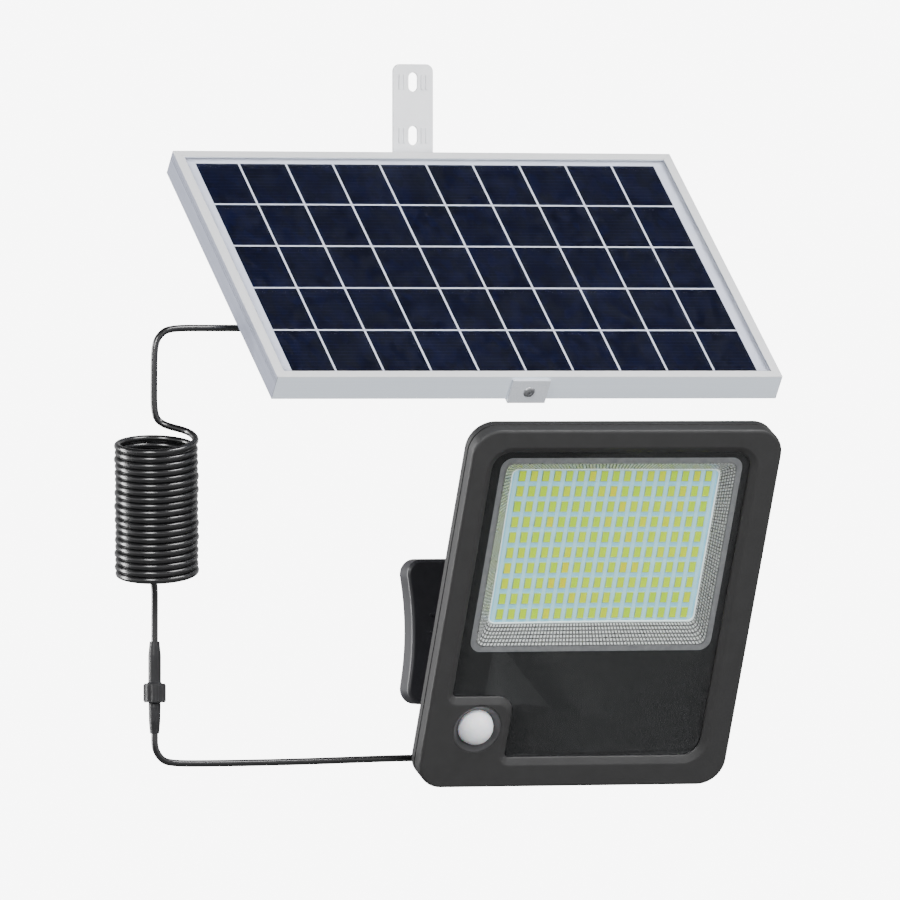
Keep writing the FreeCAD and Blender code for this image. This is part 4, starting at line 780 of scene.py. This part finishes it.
def led_shape():
    """One package: a low box whose top holds a shallow cup; the cup's faces carry phosphor 1."""
    bm = bmesh.new()
    phosphor = bm.faces.layers.float.new("phosphor")
    rings = []
    half_led_wide = 0.0022
    half_led_tall = 0.0036
    for inset, level in ((0.0, 0.0), (0.0, 0.00085), (0.0001, 0.0009), (0.0003, 0.0009), (0.0004, 0.00078)):
        wide = half_led_wide - inset
        tall = half_led_tall - inset
        rings.append(ring_at(bm, ((-wide, -tall), (wide, -tall), (wide, tall), (-wide, tall)), level))
    wrap(bm, rings)
    top = bm.faces.new(rings[-1])
    top[phosphor] = 1
    mesh = bpy.data.meshes.new("led_package")
    bmesh.ops.recalc_face_normals(bm, faces=bm.faces)
    bm.to_mesh(mesh)
    bm.free()
    shape = bpy.data.objects.new("led_package", mesh)
    bpy.context.scene.collection.objects.link(shape)
    return shape


def led_tree():
    """A grid of packages, each with its own tint between 0 and 1."""
    tree, new, link, given = open_tree("led_field", ("Columns", "Int", 17), ("Rows", "Int", 10),
                                       ("Field width", "Float", 0.128), ("Field height", "Float", 0.0972),
                                       ("Package", "Object"))
    grid = new("GeometryNodeMeshGrid")
    link(given.outputs["Field width"], grid.inputs["Size X"])
    link(given.outputs["Field height"], grid.inputs["Size Y"])
    link(given.outputs["Columns"], grid.inputs["Vertices X"])
    link(given.outputs["Rows"], grid.inputs["Vertices Y"])
    package = new("GeometryNodeObjectInfo")
    link(given.outputs["Package"], package.inputs["Object"])
    spread = new("GeometryNodeInstanceOnPoints")
    link(grid.outputs["Mesh"], spread.inputs["Points"])
    link(package.outputs["Geometry"], spread.inputs["Instance"])
    chance = new("FunctionNodeRandomValue")
    chance.data_type = "FLOAT"
    chance.inputs["Seed"].default_value = 11
    tint = new("GeometryNodeStoreNamedAttribute")
    tint.domain = "INSTANCE"
    tint.data_type = "FLOAT"
    tint.inputs["Name"].default_value = "tint"
    link(spread.outputs["Instances"], tint.inputs["Geometry"])
    link(chance.outputs[1], tint.inputs["Value"])
    return close_tree(tree, given, tint.outputs["Geometry"])


def carried(finish, name):
    reader = finish.nodes.new("ShaderNodeAttribute")
    reader.attribute_name = name
    return reader.outputs["Fac"]


phosphor = Finish("yellow_phosphor")
cup = carried(phosphor, "phosphor")
tint_and_painted_glow = phosphor.ramp(carried(phosphor, "tint"), [(0.0, (0.40, 0.66, 0.0)), (0.75, (0.50, 0.67, 0.0)),
                                                 (1.0, (0.68, 0.56, 0.0))])
fleck = phosphor.ramp(phosphor.noise(1600, 2), [(0.35, (0.40, 0.61, 0.0)), (0.65, (0.50, 0.70, 0.0))])
tint_and_painted_glow = phosphor.blended(phosphor.span(phosphor.noise(900, 1), 0.4, 0.6, 0.0, 0.35), tint_and_painted_glow, fleck)
phosphor.colour(phosphor.blended(cup, (0.44, 0.56, 0.10), tint_and_painted_glow))
# Every package is also given a faint emission, in its tint on the cup floor: a painted glow.
phosphor.join(phosphor.blended(cup, (0.30, 0.38, 0.04), tint_and_painted_glow), phosphor.shader.inputs["Emission Color"])
phosphor.set(Emission_Strength=0.12, Roughness=0.7, Specular_IOR_Level=0.1)
package = led_shape()
led_columns = 17
led_rows = 10
led_step_across = 0.008
led_step_up = 0.0108
led_field = grown("led_packages", led_tree(), bpy.data.meshes.new("led_base"),
                  face_frame @ Matrix.Translation((0, 0.0406, 0.034)), columns=led_columns,
                  rows=led_rows, field_width=led_step_across * (led_columns - 1),
                  field_height=led_step_up * (led_rows - 1), package=package, finish=phosphor.material)
bpy.data.objects.remove(package)
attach(led_field, "lamp_head")
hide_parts("leds")

# ---- Reflector -------------------------------------------------------------------------------
# One vacuum-metallised moulding: a flat flange under the glass, four sloping walls pressed into
# rows of tiny truncated pyramids, and a lip round the board.  The pyramid tops and the lip are
# painted near-white: painted highlights.
chrome = Finish("metallised").set(Metallic=0.75)
painted_shade_facet_sides = chrome.ramp(chrome.noise(500, 2), [(0.3, (0.24, 0.235, 0.23)), (0.7, (0.40, 0.395, 0.39))])
# The facet tops are painted near-white against the darker sides: a painted highlight and painted shade on the
# one metallised coat.
chrome.colour(chrome.blended(carried(chrome, "facet_top"), painted_shade_facet_sides, (0.94, 0.93, 0.92)))
chrome.roughness(chrome.noise(300, 2), 0.25, 0.35)
flange_grey = Finish("flange_satin").set(Metallic=0.6)
flange_grey.colour(flange_grey.ramp(flange_grey.noise(240, 3), [(0.3, (0.24, 0.235, 0.245)),
                                                                (0.7, (0.30, 0.295, 0.305))]))
flange_grey.roughness(flange_grey.noise(400, 2), 0.3, 0.42)

shell = bmesh.new()
shell_rings = []
for half, low, high, radius, level in (
        (0.0719, -0.0150, 0.0948, 0.004, 0.0340), (0.0809, -0.0289, 0.1015, 0.005, 0.0402),
        (0.0809, -0.0289, 0.1015, 0.005, 0.0406), (0.0856, -0.0336, 0.1062, 0.008, 0.0406),
        (0.0856, -0.0336, 0.1062, 0.008, 0.0394), (0.0816, -0.0296, 0.1022, 0.006, 0.0394),
        (0.0816, -0.0296, 0.1022, 0.006, 0.0340)):
    shell_rings.append(ring_at(shell, box_outline(-half, half, low, high, radius), level))
wrap(shell, shell_rings + [shell_rings[0]])
reflector_shell = made(shell, "reflector_shell", face_frame, flange_grey.material)
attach(reflector_shell, "lamp_head")
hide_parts("reflector")


def even_points(spots, count):
    """The same closed outline as an even number of equal steps."""
    loop = spots + [spots[0]]
    lengths = [0]
    for before, after in zip(loop, loop[1:]):
        lengths.append(lengths[-1] + (after - before).length)
    found = []
    segment = 0
    for index in range(count):
        wanted = lengths[-1] * index / count
        while lengths[segment + 1] < wanted:
            segment += 1
        part = (wanted - lengths[segment]) / max(lengths[segment + 1] - lengths[segment], 1e-9)
        found.append(loop[segment].lerp(loop[segment + 1], part))
    return found


def facet_tree():
    """Every face of the sloping wall becomes one low truncated pyramid."""
    tree, new, link, given = open_tree("pressed_facets", ("Facet height", "Float", 0.0007),
                                       ("Facet top", "Float", 0.6))
    raised = new("GeometryNodeExtrudeMesh")
    raised.mode = "FACES"
    raised.inputs["Individual"].default_value = True
    link(given.outputs["Geometry"], raised.inputs["Mesh"])
    link(given.outputs["Facet height"], raised.inputs["Offset Scale"])
    small = new("GeometryNodeScaleElements")
    small.domain = "FACE"
    link(raised.outputs["Mesh"], small.inputs["Geometry"])
    link(raised.outputs["Top"], small.inputs["Selection"])
    link(given.outputs["Facet top"], small.inputs["Scale"])
    tops = new("GeometryNodeStoreNamedAttribute")
    tops.domain = "FACE"
    tops.data_type = "FLOAT"
    tops.inputs["Name"].default_value = "facet_top"
    link(small.outputs["Geometry"], tops.inputs["Geometry"])
    link(raised.outputs["Top"], tops.inputs["Value"])
    return close_tree(tree, given, tops.outputs["Geometry"])


slope = bmesh.new()
slope_rings = []
facet_rows = 6
facets_round = 236
foot_level = 0.0345
wall_height = 0.0060
wall_top = even_points(box_outline(-0.0806, 0.0806, -0.0286, 0.1012, 0.005), facets_round)
wall_foot = even_points(box_outline(-0.0718, 0.0718, -0.0149, 0.0947, 0.004), facets_round)
for row in range(facet_rows + 1):
    part = row / facet_rows
    slope_rings.append([slope.verts.new((*foot.lerp(top, part), foot_level + wall_height * part))
                        for top, foot in zip(wall_top, wall_foot)])
wrap(slope, slope_rings)
inward = Vector((0, 0.0363, 0.06))
for face in slope.faces:
    face.normal_update()
    if face.normal.dot(inward - face.calc_center_median()) < 0:
        face.normal_flip()
slope_mesh = bpy.data.meshes.new("slope")
slope.to_mesh(slope_mesh)
slope.free()
reflector_walls = grown("reflector_facets", facet_tree(), slope_mesh, face_frame, facet_height=0.0007,
                        facet_top=0.6, finish=chrome.material)
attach(reflector_walls, "lamp_head")

# The lip is painted near-white: a painted highlight on the metallised moulding.
lip_painted_highlight = grained("reflector_bright_lip", (0.86, 0.95, 0.96), (0.93, 0.99, 0.99), 0.2, 0.35)
lip = bmesh.new()
lip_rings = []
for half, low, high, radius, level in (
        (0.0718, -0.0149, 0.0947, 0.004, 0.0341), (0.0718, -0.0149, 0.0947, 0.004, 0.0347),
        (0.0715, -0.0146, 0.0944, 0.004, 0.0350), (0.0709, -0.0140, 0.0938, 0.0035, 0.0350),
        (0.0706, -0.0137, 0.0935, 0.0035, 0.0347), (0.0706, -0.0137, 0.0935, 0.0035, 0.0341)):
    lip_rings.append(ring_at(lip, box_outline(-half, half, low, high, radius), level))
wrap(lip, lip_rings + [lip_rings[0]])
bright_lip = made(lip, "reflector_lip", face_frame, lip_painted_highlight, 60)
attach(bright_lip, "lamp_head")

# ---- Front glass -----------------------------------------------------------------------------
# 3 mm tempered glass held under the bezel's lip, printed black on its inner side except for the
# window over the reflector.
ink_black = grained("printed_ink", (0.0065, 0.0065, 0.007), (0.008, 0.008, 0.0086), 0.52, 0.56, grain=300,
                    depth=0.000001, Specular_IOR_Level=0.3)
coat(ink_black, "black_print_mask")


def lamp_opening(grow):
    """The bezel's opening with its notch for the sensor, grown by a margin on every side."""
    left, right, low, high = -0.092 - grow, 0.0885 + grow, -0.1068 - grow, 0.1105 + grow
    notch_x, notch_y = -0.0485 - grow, -0.063 - grow
    wide = 0.012 + grow
    tight = 0.003 + grow
    return outline([(notch_x, low, tight), (right, low, wide), (right, high, wide), (left, high, wide),
                    (left, notch_y, tight), (notch_x, notch_y, 0.0115 - grow)])


pane = bmesh.new()
pane_rings = []
for grow, level in ((0.0024, 0.0411), (0.0030, 0.0415), (0.0030, 0.0435), (0.0025, 0.0439), (0.0020, 0.0439)):
    pane_rings.append(ring_at(pane, lamp_opening(grow), level))
wrap(pane, pane_rings)
flat(pane, pane_rings[0])
flat(pane, pane_rings[-1])
lamp_cover = made(pane, "lamp_front_glass", face_frame,
                  clear_glass("lamp_tempered_glass", (0.97, 0.99, 0.99, 1), 1.44))
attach(lamp_cover, "lamp_head")
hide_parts("front_glass")

# ---- Bezel -----------------------------------------------------------------------------------
# The lamp's front casting: rounded outside, a broad chamfer down to the glass, and a bored seat
# for the motion sensor in the notch at its lower left corner.
bezel = bmesh.new()
lamp_corner = 0.018
lamp_front = 0.048
edge_round = 0.0020
edge_steps = 5


def outer_ring(inset, level):
    """The lamp's outer outline, drawn in by a margin on every side."""
    return ring_at(bezel, box_outline(-half_wide + inset, half_wide - inset, -half_tall + inset,
                                      half_tall - inset, lamp_corner - inset, 12), level)


outer_rings = [outer_ring(0.0004, 0.0388), outer_ring(0.0, 0.0392)]
for step in range(edge_steps + 1):
    turn = math.radians(90 * step / edge_steps)
    outer_rings.append(outer_ring(edge_round * (1 - math.cos(turn)),
                                  lamp_front - edge_round + edge_round * math.sin(turn)))
outer_rings.append(outer_ring(edge_round + 0.0005, lamp_front))
wrap(bezel, outer_rings)
opening_rings = []
for grow, level in ((0.0054, 0.0480), (0.0049, 0.0480), (0.0045, 0.0479), (0.0040, 0.04765),
                    (0.0006, 0.04555), (0.0002, 0.0452), (0.0, 0.0447), (0.0, 0.0440),
                    (0.0035, 0.0440), (0.0035, 0.0388)):
    opening_rings.append(ring_at(bezel, lamp_opening(grow), level))
wrap(bezel, opening_rings)
sensor_x, sensor_y = -0.072, -0.085


def ring_round(radius, level):
    """A round ring about the sensor."""
    count = 40
    turns = [math.tau * step / count for step in range(count)]
    return ring_at(bezel, [(sensor_x + radius * math.cos(turn), sensor_y + radius * math.sin(turn))
                           for turn in turns], level)


bore_rings = [ring_round(radius, level) for radius, level in
              ((0.0174, 0.0480), (0.0171, 0.0480), (0.0167, 0.0478), (0.0165, 0.0474), (0.0165, 0.0388))]
wrap(bezel, bore_rings)
flat(bezel, outer_rings[-1], opening_rings[0], bore_rings[0])
flat(bezel, outer_rings[0], opening_rings[-1], bore_rings[-1])
front_frame = made(bezel, "bezel_casting", face_frame, casting_grey)
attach(front_frame, "lamp_head")
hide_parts("front_bezel")

# ---- Motion sensor ---------------------------------------------------------------------------
# A milky polyethylene dome with moulded lens facets in a turned collar, over the detector's metal
# can on its small board.
milky = Finish("milky_lens").set(Subsurface_Weight=0.25, Subsurface_Scale=0.002)
milky.turned_place(lamp_spot, math.pi / 2 + lamp_tilt)
lens_cells = milky.nodes.new("ShaderNodeTexVoronoi")
lens_cells.feature = "DISTANCE_TO_EDGE"
lens_cells.inputs["Scale"].default_value = 330
lens_cells.inputs["Randomness"].default_value = 0.35
milky.join(milky.place, lens_cells.inputs["Vector"])
milky.colour(milky.ramp(milky.noise(120, 2), [(0.3, (0.80, 0.80, 0.84)), (0.7, (0.88, 0.88, 0.90))]))
milky.roughness(milky.noise(300, 2), 0.35, 0.5)
milky.relief(milky.span(lens_cells.outputs["Distance"], 0.0, 0.12, 0.0, 1.0, True), 0.00006)
coat(milky.material, "sensor_lens")
coat(plated("detector_can", (0.5, 0.5, 0.48), (0.68, 0.68, 0.66), 0.2, 0.35), "motion_detector")
